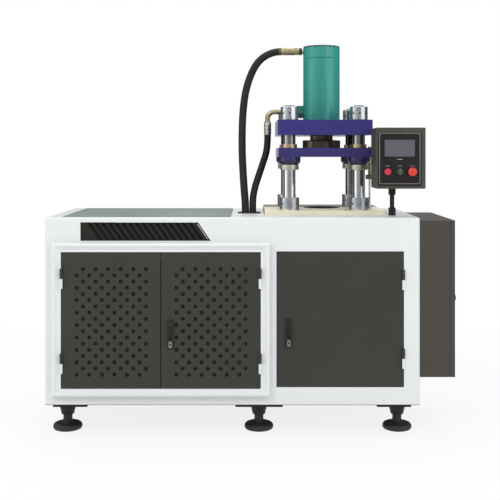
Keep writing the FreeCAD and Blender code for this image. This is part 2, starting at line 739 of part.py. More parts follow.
def make_intake_grille():
    body = new_body("intake_grille")
    plan = sketch(body, "grille_plan", "XZ_Plane", "-(face_y + sheet)")
    foot = "vent_x + vent_top + vent_slope + vent_lap"
    outline(plan, [("vent_x - vent_lap", "vent_z - vent_lap"), (foot, "vent_z - vent_lap"),
                   (foot + " - vent_slope", "skirt_z - 1"), ("vent_x - vent_lap", "skirt_z - 1")])
    pad(body, plan, "grille_thick", True)
    slots = sketch(body, "grille_slot", "XZ_Plane", "-(face_y + sheet)")
    start = "vent_x + 22"
    outline(slots, [(start + " + vent_slope", "vent_z + 3"), (start + " + vent_slope + slat_gap", "vent_z + 3"),
                    (start + " + slat_gap + 3", "vent_z + vent_height - 3"),
                    (start + " + 3", "vent_z + vent_height - 3")])
    first = pocket(body, slots, "grille_thick")
    row = body.newObject("PartDesign::LinearPattern", "grille_row")
    row.Originals = [first]
    row.Direction = (slots, ["H_Axis"])
    drive(row, "Length", "slat_pitch * 15")
    row.Occurrences = 16
    body.Tip = row
    piece("intake_grille", body)


def make_work_mat():
    low = ("left_x + mat_left", "face_y + mat_front", "top_z")
    high = ("left_x + mat_left + mat_width", "face_y + mat_front + mat_depth", "top_z + mat_thick")
    piece("work_mat", rounded_block("work_mat", low, high, "2", UP))


def make_hose_grommet():
    centre = ("slot_x", "slot_y")
    depth = "grommet_floor + grommet_depth"
    plug = slot_block("grommet_plug", centre, "top_z - (%s)" % depth, "slot_length - slack", "slot_width - slack", depth)
    rim = slot_block("grommet_lip", centre, "top_z", "slot_length + 2 * grommet_rim",
                     "slot_width + 2 * grommet_rim", "grommet_rim")
    inside = slot_block("grommet_inside", centre, "plug_z", "slot_length - 8", "slot_width - 8",
                        "grommet_floor + grommet_rim")
    piece("hose_grommet", cut("hose_grommet", join("grommet_blank", [plug, rim]), [inside]))


def foot_places():
    rows = ("face_y + foot_edge", "back_y - foot_edge")
    columns = ("left_x + foot_left", "pair_end - foot_middle", "right_x - foot_right")
    return [(x, y) for y in rows for x in columns]


PLATE_REACH = (("plate_width / 2 - plate_shift", "plate_width / 2 + plate_shift"),
               ("plate_middle / 2", "plate_middle / 2"),
               ("plate_width / 2 + plate_shift", "plate_width / 2 - plate_shift"))


def make_feet():
    brackets = []
    feet = []
    socket_low = "cab_base - plate_thick - socket_drop"
    for step, (x, y) in enumerate(foot_places()):
        reach_left, reach_right = PLATE_REACH[step % 3]
        plate = rounded_block("bracket_plate_%d" % step,
                              ("%s - (%s)" % (x, reach_left), y + " - plate_depth / 2", "cab_base - plate_thick"),
                              ("%s + %s" % (x, reach_right), y + " + plate_depth / 2", "cab_base"), "6", UP)
        hub = turned("bracket_hub_%d" % step, (x, y, socket_low),
                     [("0", "0"), ("socket_end", "0"), ("socket_round - 1", "socket_drop - 14"),
                      ("socket_round", "socket_drop - 14"), ("socket_round", "socket_drop + 4"),
                      ("0", "socket_drop + 4")])
        hole = rod("bracket_hole_%d" % step, (x, y, socket_low), "10 + fit", "socket_drop + 10")
        brackets.append(cut("bracket_%d" % step, join("bracket_blank_%d" % step, [plate, hub]), [hole]))
        feet.append(turned("foot_%d" % step, (x, y, "0"),
                           [("0", "0"), ("pad_round - 9", "0"), ("pad_round - 4", "2"), ("pad_round - 1", "6"),
                            ("pad_round", "11"), ("pad_round - 1", "17"), ("pad_round - 5", "22"),
                            ("pad_round - 12", "pad_height - 2"), ("neck_round + 4", "pad_height"),
                            ("neck_round", "pad_height + 4"), ("neck_round", socket_low), ("10", socket_low),
                            ("10", "cab_base - 10"), ("0", "cab_base - 10")]))
    piece("foot_brackets", group("foot_brackets", brackets))
    piece("leveling_feet", group("leveling_feet", feet))


# Hinges, doors and their latches


HINGES = [
    ("left", "pair_x + door_gap", "land_y", 1, ("hinge_low", "hinge_high")),
    ("middle", "pair_end - door_gap", "land_y", -1, ("hinge_low", "hinge_high")),
    ("right", "single_end - door_gap", "face_y", -1, ("hinge_low + 14", "hinge_high - 8")),
]


def foot_block(name, x, side, start_y, end_y, low, length):
    """Weld foot between a knuckle and the face it is fixed to."""
    near, far = ("0.5", "5.5") if side > 0 else ("-5.5", "-0.5")
    return block(name, (x + " + " + near, start_y, low), (x + " + " + far, end_y, "%s + %s" % (low, length)))


def upper_knuckles(name, x, face, side, rises):
    """Knuckles welded to a door, above the joint lines."""
    parts = []
    holes = []
    axis_y = "(%s) - hinge_y" % face
    for step, rise in enumerate(rises):
        low = "(sill_z + %s + slack)" % rise
        tag = "%s_%d" % (name, step)
        parts.append(rod("knuckle_" + tag, (x, axis_y, low), "knuckle_round", "knuckle_long"))
        parts.append(foot_block("knuckle_foot_" + tag, x, side, axis_y, face, low, "knuckle_long"))
        holes.append(rod("knuckle_hole_" + tag, (x, axis_y, low), "pin_round + fit", "knuckle_long - 3"))
    return parts, holes


def make_hinge_pintles():
    pintles = []
    for name, x, face, side, rises in HINGES:
        axis_y = "(%s) - hinge_y" % face
        for step, rise in enumerate(rises):
            low = "(sill_z + %s - knuckle_long)" % rise
            tag = "%s_%d" % (name, step)
            parts = [rod("pintle_" + tag, (x, axis_y, low), "knuckle_round", "knuckle_long"),
                     foot_block("pintle_foot_" + tag, x, -side, axis_y, face, low, "knuckle_long"),
                     rod("pintle_pin_" + tag, (x, axis_y, low), "pin_round", "2 * knuckle_long - 5")]
            pintles.append(join("pintle_all_" + tag, parts))
    piece("hinge_pintles", group("hinge_pintles", pintles))


def door_pan(name, low_x, high_x, face, holes_from=None):
    """Folded door pan, open at the back, with its ventilation holes."""
    low = (low_x, face, "sill_z + door_gap")
    high = (high_x, "(%s) + door_thick" % face, "lintel_z - door_gap")
    body = new_body(name)
    plan = sketch(body, name + "_plan", "XZ_Plane", "-(%s)" % face)
    rectangle(plan, (low[0], low[2]), (high[0], high[2]))
    plain = pad(body, plan, "door_thick", True)
    front = edges_where(plain, lambda box: box.YMax < plain.Shape.BoundBox.YMin + 0.01)
    round_edges(body, plain, front, "1.2")
    inside = sketch(body, name + "_inside", "XZ_Plane", "-((%s) + door_skin)" % face)
    rectangle(inside, ("%s + door_skin" % low[0], "%s + door_skin" % low[2]),
              ("%s - door_skin" % high[0], "%s - door_skin" % high[2]))
    pocket(body, inside, "door_thick")
    if holes_from is None:
        return body
    start = sketch(body, name + "_holes", "XZ_Plane", "-(%s)" % face)
    top = "%s - hole_top" % high[2]
    circle(start, ("%s + hole_side + hole_pitch / 2" % holes_from, top), "hole_round")
    circle(start, ("%s + hole_side" % holes_from, "%s - row_pitch" % top), "hole_round")
    first = pocket(body, start, "door_skin + 1")
    grid = body.newObject("PartDesign::MultiTransform", name + "_grid")
    grid.Originals = [first]
    across = body.newObject("PartDesign::LinearPattern", name + "_across")
    across.Direction = (start, ["H_Axis"])
    drive(across, "Length", "hole_pitch * (holes_across - 1)")
    across.Occurrences = 6
    drive(across, "Occurrences", "holes_across")
    down = body.newObject("PartDesign::LinearPattern", name + "_down")
    down.Direction = (start, ["V_Axis"])
    down.Reversed = True
    drive(down, "Length", "2 * row_pitch * (row_pairs - 1)")
    down.Occurrences = 9
    drive(down, "Occurrences", "row_pairs")
    grid.Transformations = [across, down]
    body.Tip = grid
    return body


def latch_parts(name, x, face, cam_y):
    """Latch plate with its pivot pin, swing lever, and lock with its cam."""
    middle = "(sill_z + latch_rise)"
    front = "(%s) - latch_thick" % face
    pivot_y = "(%s) - 4" % face
    pivot_z = "(%s + lever_long - 18)" % middle
    plate = rounded_block(name + "_plate", (x + " - latch_width / 2", front, middle + " - latch_height / 2"),
                          (x + " + latch_width / 2", face, middle + " + latch_height / 2"), "3.5", ALONG)
    lock_z = "(%s - lock_drop)" % middle
    bezel = rounded_block(name + "_bezel", (x + " - 6.5", "(%s) - 2" % front, lock_z + " - 12.5"),
                          (x + " + 6.5", front, lock_z + " + 12.5"), "6", ALONG)
    window = block(name + "_window",
                   (x + " - lever_width / 2 - slack", front, pivot_z + " - lever_long"),
                   (x + " + lever_width / 2 + slack", face, pivot_z + " + 4.5"))
    lock_hole = rod(name + "_lock_hole", (x, "(%s) - 2" % front, lock_z), "lock_round + fit", "latch_thick + 2", "y")
    pin = rod(name + "_pin", (x + " - latch_width / 2 + 2", pivot_y, pivot_z), "1.5", "latch_width - 4", "x")
    body = cut(name + "_latch_blank", join(name + "_latch_solid", [plate, bezel]), [window, lock_hole])
    piece(name + "_latch_housing", join(name + "_latch_housing", [body, pin]))

    tip_y = "(%s - lever_proud)" % front
    grip = new_body(name + "_grip", (x + " - lever_width / 2", pivot_y, pivot_z))
    side = sketch(grip, name + "_grip_side", "YZ_Plane")
    drop = "(4 - latch_thick - lever_proud)"
    outline(side, [("-3.2", "1"), (drop, "-13"), (drop, "-lever_long + 7"), (drop + " + 2", "-lever_long + 5"),
                   ("1", "-lever_long + 5"), ("2.6", "-12"), ("3.2", "0")])
    pad(grip, side, "lever_width")
    hub = rod(name + "_lever_hub", (x + " - lever_width / 2", pivot_y, pivot_z), "3.35", "lever_width", "x")
    eye = rod(name + "_lever_eye", (x + " - lever_width / 2", pivot_y, pivot_z), "1.5 + fit", "lever_width", "x")
    piece(name + "_latch_lever", cut(name + "_latch_lever", join(name + "_lever_solid", [grip, hub]), [eye]))

    head_y = "(%s) - 3.5" % front
    barrel = rod(name + "_barrel", (x, head_y, lock_z), "lock_round", "(%s) - (%s)" % (cam_y, head_y), "y")
    cam = block(name + "_cam", (x + " - 6", cam_y, lock_z + " - cam_long + 6"), (x + " + 6", "(%s) + cam_thick" % cam_y, lock_z + " + 6"))
    key = block(name + "_key", (x + " - 0.6", head_y, lock_z + " - 3"), (x + " + 0.6", head_y + " + 2", lock_z + " + 3"))
    return lock_z, cut(name + "_lock_barrel", join(name + "_lock_solid", [barrel, cam]), [key])


def make_doors():
    parts, holes = upper_knuckles(*HINGES[0][:2] + HINGES[0][2:])
    left = door_pan("left_pan", "pair_x + door_gap", "pair_x + door_gap + pair_door", "land_y", "pair_x + door_gap")
    piece("left_door", cut("left_door", join("left_door_solid", [left] + parts), holes))
    doors = (
        ("middle", HINGES[1], "pair_end - door_gap - pair_door", "pair_end - door_gap", "land_y",
         "latch_side", "door_thick + 0.5", True),
        ("right", HINGES[2], "single_x + door_gap", "single_end - door_gap", "face_y",
         "single_side", "jamb_depth + 0.5", False),
    )
    for name, hinge, low_x, high_x, face, latch_at, cam_at, holed in doors:
        parts, holes = upper_knuckles(*hinge)
        pan = door_pan(name + "_pan", low_x, high_x, face, low_x if holed else None)
        x = "(%s + %s)" % (low_x, latch_at)
        lock_z, lock = latch_parts(name, x, face, "(%s) + %s" % (face, cam_at))
        holes.append(rod(name + "_pan_hole", (x, face, lock_z), "lock_round + 1", "door_skin + 1", "y"))
        piece(name + "_door", cut(name + "_door", join(name + "_door_solid", [pan] + parts), holes))
        piece(name + "_lock_barrel", lock)


# Press


def make_bolster():
    low = ("press_x - bolster_width / 2", "press_y - bolster_depth / 2", "bolster_z")
    high = ("press_x + bolster_width / 2", "press_y + bolster_depth / 2", "bed_z")
    body = rounded_block("bolster_blank", low, high, "3", UP)
    rim = edges_where(body.Tip, lambda box: box.ZMin > places.bed_z - places.bolster_z - 0.01)
    bevel_edges(body, body.Tip, rim, "2")
    tools = bores("bolster_column_hole", column_places(), "bolster_z", "fitted_spigot", "bolster_thick")
    tools += bores("bolster_tool_hole", around(4, "tool_ring / 2"), "bed_z - tool_deep", "tool_round", "tool_deep")
    tools.append(rod("die_pocket", ("press_x", "press_y", "pocket_z"), "die_round", "die_deep"))
    tools.append(rod("ejector_hole", ("press_x", "press_y", "bolster_z"), "ram_hole", "bolster_thick"))
    piece("bolster_plate", cut("bolster_plate", body, tools))


def make_columns():
    reach = "bolster_thick + nut_height + column_over"
    columns = []
    for step, (x, y) in enumerate(column_places()):
        top = "column_free + crown_thick + nut_height + column_over"
        columns.append(turned("column_%d" % step, (x, y, "bed_z"),
                              [("0", "-(%s)" % reach), ("spigot_round - 2", "-(%s)" % reach),
                               ("spigot_round", "2 - (%s)" % reach), ("spigot_round", "0"), ("column_round", "0"),
                               ("column_round", "column_free"), ("spigot_round", "column_free"),
                               ("spigot_round", top + " - 2"), ("spigot_round - 2", top), ("0", top)]))
    piece("columns", group("columns", columns))


def make_collars_and_nuts():
    collars = []
    nuts = []
    for step, (x, y) in enumerate(column_places()):
        collar = ring("collar_%d" % step, (x, y, "bed_z"), "column_round + fit", "collar_round", "collar_height")
        screw = rod("collar_screw_%d" % step, (x, y, "bed_z + collar_height / 2"), "grub_round", "collar_round + 1", "-y")
        collars.append(cut("collar_cut_%d" % step, collar, [screw]))
        for name, low in (("low", "bolster_z - nut_height"), ("top", "crown_top")):
            tag = "%s_%d" % (name, step)
            nut = turned("nut_" + tag, (x, y, low),
                         [("fitted_spigot", "0"), ("nut_round - 2", "0"), ("nut_round", "2"),
                          ("nut_round", "nut_height - 2"), ("nut_round - 2", "nut_height"),
                          ("fitted_spigot", "nut_height")])
            middle = low + " + nut_height / 2"
            bars = [rod("nut_bar_x_" + tag, (x + " - nut_round - 1", y, middle), "grub_round", "2 * nut_round + 2", "x"),
                    rod("nut_bar_y_" + tag, (x, y + " - nut_round - 1", middle), "grub_round", "2 * nut_round + 2", "y")]
            nuts.append(cut("nut_cut_" + tag, nut, bars))
    piece("base_collars", group("base_collars", collars))
    piece("column_nuts", group("column_nuts", nuts))


def screw_places():
    points = []
    for step in range(8):
        turn = "%s deg" % (22.5 + 45 * step)
        points.append(("press_x + bolt_ring * cos(%s)" % turn, "press_y + bolt_ring * sin(%s)" % turn))
    return points


def make_crown():
    low = ("press_x - crown_width / 2", "press_y - crown_depth / 2", "crown_z")
    high = ("press_x + crown_width / 2", "press_y + crown_depth / 2", "crown_top")
    body = rounded_block("crown_blank", low, high, "4", UP)
    tools = bores("crown_column_hole", column_places(), "crown_z", "fitted_spigot", "crown_thick")
    tools.append(rod("crown_gland_hole", ("press_x", "press_y", "crown_z"), "gland_round + fit", "crown_thick"))
    tools += bores("crown_screw_hole", screw_places(), "crown_z", "bolt_round + fit", "crown_thick")
    tools += bores("crown_head_hole", screw_places(), "crown_z", "bolt_head + slack", "bolt_sink")
    piece("crown_plate", cut("crown_plate", body, tools))


def make_cylinder():
    axis = ("press_x", "press_y")
    outside = turned("barrel_blank", axis + ("crown_top",),
                     [("0", "0"), ("barrel_round", "0"), ("barrel_round", "barrel_long - groove"),
                      ("barrel_round - groove", "barrel_long"), ("0", "barrel_long")])
    port_z = "crown_top + low_port_rise"
    face_x = "press_x - barrel_round - 27.5"
    block_low = (face_x, "press_y - 22", port_z + " - 26")
    port_block = block("port_block", block_low, ("press_x - bore_round - 3", "press_y + 22", port_z + " + 25"))
    bore = rod("barrel_bore", axis + ("crown_top",), "bore_round", "barrel_long")
    oil_way = rod("barrel_port", (face_x, "press_y", port_z), "port_round", "60", "x")
    tools = [bore, oil_way]
    tools += bores("barrel_low_hole", screw_places(), "crown_top", "bolt_round + fit", "bolt_bite + 2")
    tools += bores("barrel_top_hole", screw_places(), "cap_z - bolt_bite - 2", "bolt_round + fit", "bolt_bite + 2")
    piece("cylinder_barrel", cut("cylinder_barrel", join("barrel_solid", [outside, port_block]), tools))

    cap = turned("cap_blank", axis + ("cap_z",),
                 [("0", "-cap_plug"), ("bore_round - fit", "-cap_plug"), ("bore_round - fit", "0"),
                  ("barrel_round - groove", "0"), ("barrel_round", "groove"), ("barrel_round", "cap_thick - 3"),
                  ("barrel_round - 3", "cap_thick"),
                  ("0", "cap_thick")])
    boss = rod("cap_boss", axis + ("cap_z + port_rise",), "17.5", "barrel_round", "-x")
    way = rod("cap_port", axis + ("cap_z + port_rise",), "port_round", "barrel_round + 1", "-x")
    down = rod("cap_way", axis + ("cap_z - cap_plug",), "port_round", "cap_plug + port_rise")
    tools = [way, down]
    tools += bores("cap_screw_hole", screw_places(), "cap_z", "bolt_round + fit", "cap_thick")
    tools += bores("cap_head_hole", screw_places(), "cap_top - bolt_sink", "bolt_head + slack", "bolt_sink")
    piece("cylinder_cap", cut("cylinder_cap", join("cap_solid", [cap, boss]), tools))

    gland = [("rod_round + fit", "0"), ("gland_round", "0"), ("gland_round", "crown_thick"),
             ("bore_round - fit", "crown_thick"), ("bore_round - fit", "crown_thick + gland_lip"),
             ("rod_round + fit", "crown_thick + gland_lip")]
    piece("rod_gland", turned("rod_gland", axis + ("crown_z",), gland))

    screws = []
    for step, (x, y) in enumerate(screw_places()):
        low_long = "crown_thick - bolt_sink + bolt_bite"
        screws.append(turned("low_screw_%d" % step, (x, y, "crown_z + bolt_sink"),
                             [("0", "-10"), ("bolt_head", "-10"), ("bolt_head", "0"), ("bolt_round", "0"),
                              ("bolt_round", low_long), ("0", low_long)]))
        top_long = "cap_thick - bolt_sink + bolt_bite"
        screws.append(turned("top_screw_%d" % step, (x, y, "cap_top - bolt_sink"),
                             [("0", "10"), ("bolt_head", "10"), ("bolt_head", "0"), ("bolt_round", "0"),
                              ("bolt_round", "-(%s)" % top_long), ("0", "-(%s)" % top_long)]))
    piece("cylinder_screws", group("cylinder_screws", screws))


def make_ram():
    axis = ("press_x", "press_y")
    neck = "piston_top - piston_long - platen_top"
    rod_profile = [("0", "0"), ("foot_round", "0"), ("foot_round", "foot_thick"), ("rod_round", "foot_thick"),
                   ("rod_round", neck), ("bore_round - fit", neck), ("bore_round - fit", "piston_top - platen_top"),
                   ("0", "piston_top - platen_top")]
    piece("piston_rod", turned("piston_rod", axis + ("platen_top",), rod_profile))
    flange = [("foot_round + slack", "0"), ("flange_round", "0"), ("flange_round", "flange_thick - 3"),
              ("flange_round - 3", "flange_thick"), ("rod_round + slack", "flange_thick"),
              ("rod_round + slack", "foot_thick"), ("foot_round + slack", "foot_thick")]
    piece("rod_flange", turned("rod_flange", axis + ("platen_top",), flange))

    low = ("press_x - platen_width / 2", "press_y - platen_depth / 2", "platen_low")
    high = ("press_x + platen_width / 2", "press_y + platen_depth / 2", "platen_top")
    solids = [rounded_block("platen_blank", low, high, "4", UP)]
    bushes = []
    rings = []
    for step, (x, y) in enumerate(column_places()):
        boss = turned("boss_%d" % step, (x, y, "boss_z"),
                      [("0", "0"), ("boss_round", "0"), ("boss_round", "boss_height + 5"), ("0", "boss_height + 5")])
        lower = edges_where(boss.Tip, lambda box: box.ZMax < 0.01)
        round_edges(boss, boss.Tip, lower, "boss_fillet")
        solids.append(boss)
        long = "boss_height + platen_thick"
        bushes.append(turned("bush_%d" % step, (x, y, "boss_z"),
                             [("column_round + fit", "0"), ("bush_round", "0"), ("bush_round", long),
                              ("bush_lip", long), ("bush_lip", long + " + bush_rise"),
                              ("column_round + fit", long + " + bush_rise")]))
        rings.append(turned("retainer_%d" % step, (x, y, "boss_z - ring_height"),
                            [("column_round + 2 * slack", "0"), ("ring_round - 1.5", "0"), ("ring_round", "1.5"),
                             ("ring_round", "ring_height"), ("column_round + 2 * slack", "ring_height")]))
    tools = bores("bush_hole", column_places(), "boss_z", "bush_round + fit", "boss_height + platen_thick")
    tools += bores("platen_tool_hole", around(4, "tool_ring / 2"), "platen_low", "tool_round", "tool_deep")
    piece("moving_platen", cut("moving_platen", join("platen_solid", solids), tools))
    piece("guide_bushes", group("guide_bushes", bushes))
    piece("retainer_rings", group("retainer_rings", rings))


def make_stroke_sensor():
    x = "press_x + stroke_x"
    y = "press_y + stroke_y"
    edge = "press_x + platen_width / 2"
    bracket = block("stroke_bracket", (edge, y + " - 15", "platen_low + 6"), (x + " + 10", y + " + 15", "platen_top - 3"))
    tube = rod("stroke_case", (x, y, "platen_low - stroke_drop"), "stroke_round", "stroke_drop + platen_thick + 6")
    clamp = block("stroke_clamp", (x + " - clamp_width / 2", y + " - 11", "platen_low - stroke_drop"),
                  (x + " + clamp_width / 2", y + " + 11", "platen_low - stroke_drop + clamp_height"))
    bore = rod("stroke_case_bore", (x, y, "platen_low - stroke_drop"), "stroke_bore", "stroke_drop + platen_thick + 6")
    piece("stroke_tube", cut("stroke_tube", join("stroke_solid", [bracket, tube, clamp]), [bore]))
    pin = turned("stroke_rod", (x, y, "bed_z"),
                 [("0", "0"), ("9", "0"), ("9", "12"), ("7", "14"), ("stroke_pin", "14"),
                  ("stroke_pin", "196"), ("stroke_pin - 1", "197"), ("0", "197")])
    piece("stroke_rod", pin)


def make_ejector():
    axis = ("press_x", "press_y", "ejector_z")
    top = "ejector_long"
    body = [("0", "0"), ("ejector_round", "0"), ("ejector_round", top + " - 20"), ("ejector_flange", top + " - 20"),
            ("ejector_flange", top), ("ram_round + fit", top), ("ram_round + fit", top + " - 18"),
            ("ejector_bore", top + " - 18"), ("ejector_bore", "15"), ("0", "15")]
    piece("ejector_cylinder", turned("ejector_cylinder", axis, body))
    reach = "pocket_z - ejector_z"
    ram = [("0", "35"), ("ejector_bore - fit", "35"), ("ejector_bore - fit", "65"), ("ram_round", "65"),
           ("ram_round", reach + " - 1"), ("ram_round - 1", reach), ("0", reach)]
    piece("ejector_rod", turned("ejector_rod", axis, ram))


# Electrical box on the right side


def make_electrical_box():
    low = ("right_x", "box_y", "box_z")
    high = ("seam_x", "box_y + box_long", "box_z + box_height")
    shell = rounded_block("box_shell", low, high, "3", ACROSS)
    space = block("box_space", tuple(value + " + sheet" for value in low), tuple(value + " - sheet" for value in high))
    mouth = block("box_mouth", ("seam_x - 2 * sheet", "box_y + box_lip", "box_z + box_lip"),
                  ("seam_x + 1", high[1] + " - box_lip", high[2] + " - box_lip"))
    axis_x = "(seam_x + 0.5)"
    axis_y = "(%s + hinge_y)" % high[1]
    parts = [cut("box_open", shell, [space, mouth])]
    for step, rise in enumerate(("90", "box_height - 130")):
        z = "(box_z + %s)" % rise
        parts.append(rod("box_pintle_%d" % step, (axis_x, axis_y, z), "knuckle_round", "knuckle_long"))
        parts.append(foot_block("box_pintle_foot_%d" % step, axis_x, -1, high[1], axis_y, z, "knuckle_long"))
        parts.append(rod("box_pin_%d" % step, (axis_x, axis_y, z), "pin_round", "2 * knuckle_long - 5"))
    piece("ebox_body", join("ebox_body", parts))

    gap = "1"
    door_low = ("seam_x + " + gap, "box_y", "box_z")
    door_high = ("seam_x + box_door", high[1], high[2])
    leaf = rounded_block("box_leaf", door_low, door_high, "3", ACROSS)
    inside = block("box_leaf_space", (door_low[0], "box_y + door_skin", "box_z + door_skin"),
                   (door_high[0] + " - door_skin", high[1] + " - door_skin", high[2] + " - door_skin"))
    lock_y = "(box_y + 28)"
    lock_z = "(box_z + box_height / 2)"
    lock_hole = rod("box_lock_hole", (door_low[0], lock_y, lock_z), "lock_round + 3 + fit", "box_door + 1", "x")
    parts = [cut("box_leaf_open", leaf, [inside, lock_hole])]
    holes = []
    for step, rise in enumerate(("90", "box_height - 130")):
        z = "(box_z + %s + knuckle_long + slack)" % rise
        parts.append(rod("box_knuckle_%d" % step, (axis_x, axis_y, z), "knuckle_round", "knuckle_long"))
        parts.append(foot_block("box_knuckle_foot_%d" % step, axis_x, 1, high[1], axis_y, z, "knuckle_long"))
        holes.append(rod("box_knuckle_hole_%d" % step, (axis_x, axis_y, z), "pin_round + fit", "knuckle_long - 3"))
    piece("ebox_door", cut("ebox_door", join("ebox_leaf", parts), holes))

    cam_x = "(seam_x - sheet - cam_thick - 0.5)"
    barrel = rod("box_barrel", (cam_x, lock_y, lock_z), "lock_round + 3", "(%s) - %s" % (door_high[0], cam_x), "x")
    head = cone("box_lock_head", (door_high[0], lock_y, lock_z), "13", "11", "box_lock", "x")
    cam = block("box_cam", (cam_x, lock_y + " - 7", lock_z + " - 24"),
                (cam_x + " + cam_thick", lock_y + " + 7", lock_z + " + 7"))
    key = block("box_key", (door_high[0] + " + box_lock - 4", lock_y + " - 1", lock_z + " - 5"),
                (door_high[0] + " + box_lock", lock_y + " + 1", lock_z + " + 5"))
    piece("ebox_lock", cut("ebox_lock", join("ebox_lock_solid", [barrel, head, cam]), [key]))

    plate_x = "right_x + sheet"
    gear = [block("gear_plate", (plate_x, "box_y + 30", "box_z + 40"),
                  (plate_x + " + 2.5", "box_y + box_long - 30", "box_z + box_height - 40"))]
    face_x = plate_x + " + 2.5"
    for row, (rise, tall, deep, count, pitch) in enumerate(((110, 84, 78, 4, 62), (300, 90, 68, 5, 46), (460, 60, 52, 7, 28))):
        z = "box_z + %d" % rise
        gear.append(block("gear_rail_%d" % row, (face_x, "box_y + 50", z + " - 17"),
                          (face_x + " + 7", "box_y + box_long - 50", z + " + 18")))
        for step in range(count):
            y = "box_y + 80 + %d" % (step * pitch)
            gear.append(block("gear_%d_%d" % (row, step), (face_x + " + 7", y, z + " - %d / 2" % tall),
                              (face_x + " + 7 + %d" % (deep - 10), y + " + %d" % (pitch - 2), z + " + %d / 2" % tall)))
    piece("control_gear", group("control_gear", gear))


# Control panel


def make_panel():
    post = turned("hmi_post", ("post_x", "post_y", "top_z"),
                  [("0", "0"), ("post_foot", "0"), ("post_foot", "30"), ("post_round", "32"),
                   ("post_round", "81"), ("post_foot", "83"), ("post_foot", "panel_low - slack"),
                   ("8", "panel_low - slack"), ("8", "panel_low + 24"), ("0", "panel_low + 24")])
    piece("hmi_post", post)

    low = ("panel_x", "panel_y", "panel_z")
    high = ("panel_x + panel_width", "panel_y + panel_deep", "panel_z + panel_tall")
    shell = rounded_block("panel_shell", low, high, "5", ALONG)
    space = block("panel_space", tuple(value + " + panel_wall" for value in low),
                  tuple(value + " - panel_wall" for value in high))
    middle = "(panel_z + panel_tall / 2 - face_low)"
    seat_low = ("panel_mid - face_width / 2", "panel_y", middle + " - face_tall / 2")
    seat_high = ("panel_mid + face_width / 2", "panel_y + face_thick", middle + " + face_tall / 2")
    recess = rounded_block("panel_recess", seat_low, seat_high, "6", ALONG)
    mouth = block("panel_mouth", (seat_low[0] + " + 6", "panel_y", seat_low[2] + " + 6"),
                  (seat_high[0] + " - 6", "panel_y + panel_wall", seat_high[2] + " - 6"))
    pivot = rod("panel_pivot", ("post_x", "post_y", "panel_z"), "8 + fit", "30")
    boss = rod("panel_boss", ("post_x", "post_y", "panel_z"), "post_foot", "28")
    trim = rod("panel_boss_trim", ("post_x", "post_y", "panel_z"), "post_foot + 3", "28")
    inside = doc.addObject("Part::Common", "panel_boss_inside")
    inside.Base = trim
    inside.Tool = block("panel_boss_limit", low, ("panel_x + panel_width", "panel_y + panel_deep", "panel_z + 40"))
    hollow = cut("panel_hollow", shell, [space, recess, mouth])
    piece("hmi_enclosure", cut("hmi_enclosure", join("panel_solid", [hollow, boss, inside]), [pivot]))

    blank = rounded_block("faceplate_blank", seat_low, seat_high, "6", ALONG)
    screen_low = ("panel_mid - screen_width / 2", "panel_y", "panel_z + screen_rise - screen_tall / 2")
    screen_high = ("panel_mid + screen_width / 2", "panel_y + face_thick", "panel_z + screen_rise + screen_tall / 2")
    tools = [block("faceplate_window", screen_low, screen_high)]
    for step, offset in enumerate(("-button_gap", "0", "button_gap")):
        tools.append(rod("faceplate_hole_%d" % step, ("panel_mid + (%s)" % offset, "panel_y", "button_z"),
                         "button_bore", "face_thick", "y"))
    piece("hmi_faceplate", cut("hmi_faceplate", blank, tools))
    screen_back = (screen_high[0], "panel_y + face_thick + 20", screen_high[2])
    piece("hmi_screen", block("hmi_screen", screen_low, screen_back))

    stem = "button_bore - fit"
    start = [("0", "-9"), ("12", "-9"), ("13", "-8"), ("13", "-5"), (stem, "-5"), (stem, "26"), ("0", "26")]
    piece("start_button", turned("start_button", ("panel_mid - button_gap", "panel_y", "button_z"), start, "y"))
    knob = turned("selector_knob", ("panel_mid", "panel_y", "button_z"),
                  [("0", "-8"), ("11.6", "-8"), ("12.4", "-7"), ("12.4", "-0.4"), (stem, "-0.4"), (stem, "26"), ("0", "26")], "y")
    lever = rounded_block("selector_lever", ("panel_mid - 4", "panel_y - 18", "button_z - 12"),
                          ("panel_mid + 4", "panel_y - 7", "button_z + 14"), "3", ALONG)
    piece("mode_selector", join("mode_selector", [knob, lever]))
    stop = [("0", "-24"), ("10.2", "-23"), ("15.3", "-20"), ("17.2", "-15"), ("16.3", "-11"), ("12", "-9"),
            ("10.5", "-8"), (stem, "-8"), (stem, "26"), ("0", "26")]
    piece("stop_button", turned("stop_button", ("panel_mid + button_gap", "panel_y", "button_z"), stop, "y"))


# Hydraulic unit in the left compartment


def make_tank():
    low = ("tank_x", "tank_y", "rail_top")
    high = ("slot_x + tank_past", "tank_y + tank_deep", "tank_top")
    space = block("tank_space", tuple(value + " + tank_wall" for value in low),
                  (high[0] + " - tank_wall", high[1] + " - tank_wall", high[2]))
    shell = cut("tank_shell", rounded_block("tank_blank", low, high, "12", UP), [space])
    lid = rounded_block("tank_lid", ("tank_x - 8", "tank_y - 8", "tank_top"),
                        (high[0] + " + 8", high[1] + " + 8", "lid_top"), "14", UP)
    neck = turned("tank_filler", ("tank_x + 60", "tank_y + tank_deep - 60", "lid_top"),
                  [("0", "0"), ("30", "0"), ("30", "8"), ("22", "8"), ("22", "30"), ("34", "30"), ("34", "62"),
                   ("30", "66"), ("0", "66")])
    piece("oil_tank", group("oil_tank", [shell, join("tank_cover", [lid, neck])]))


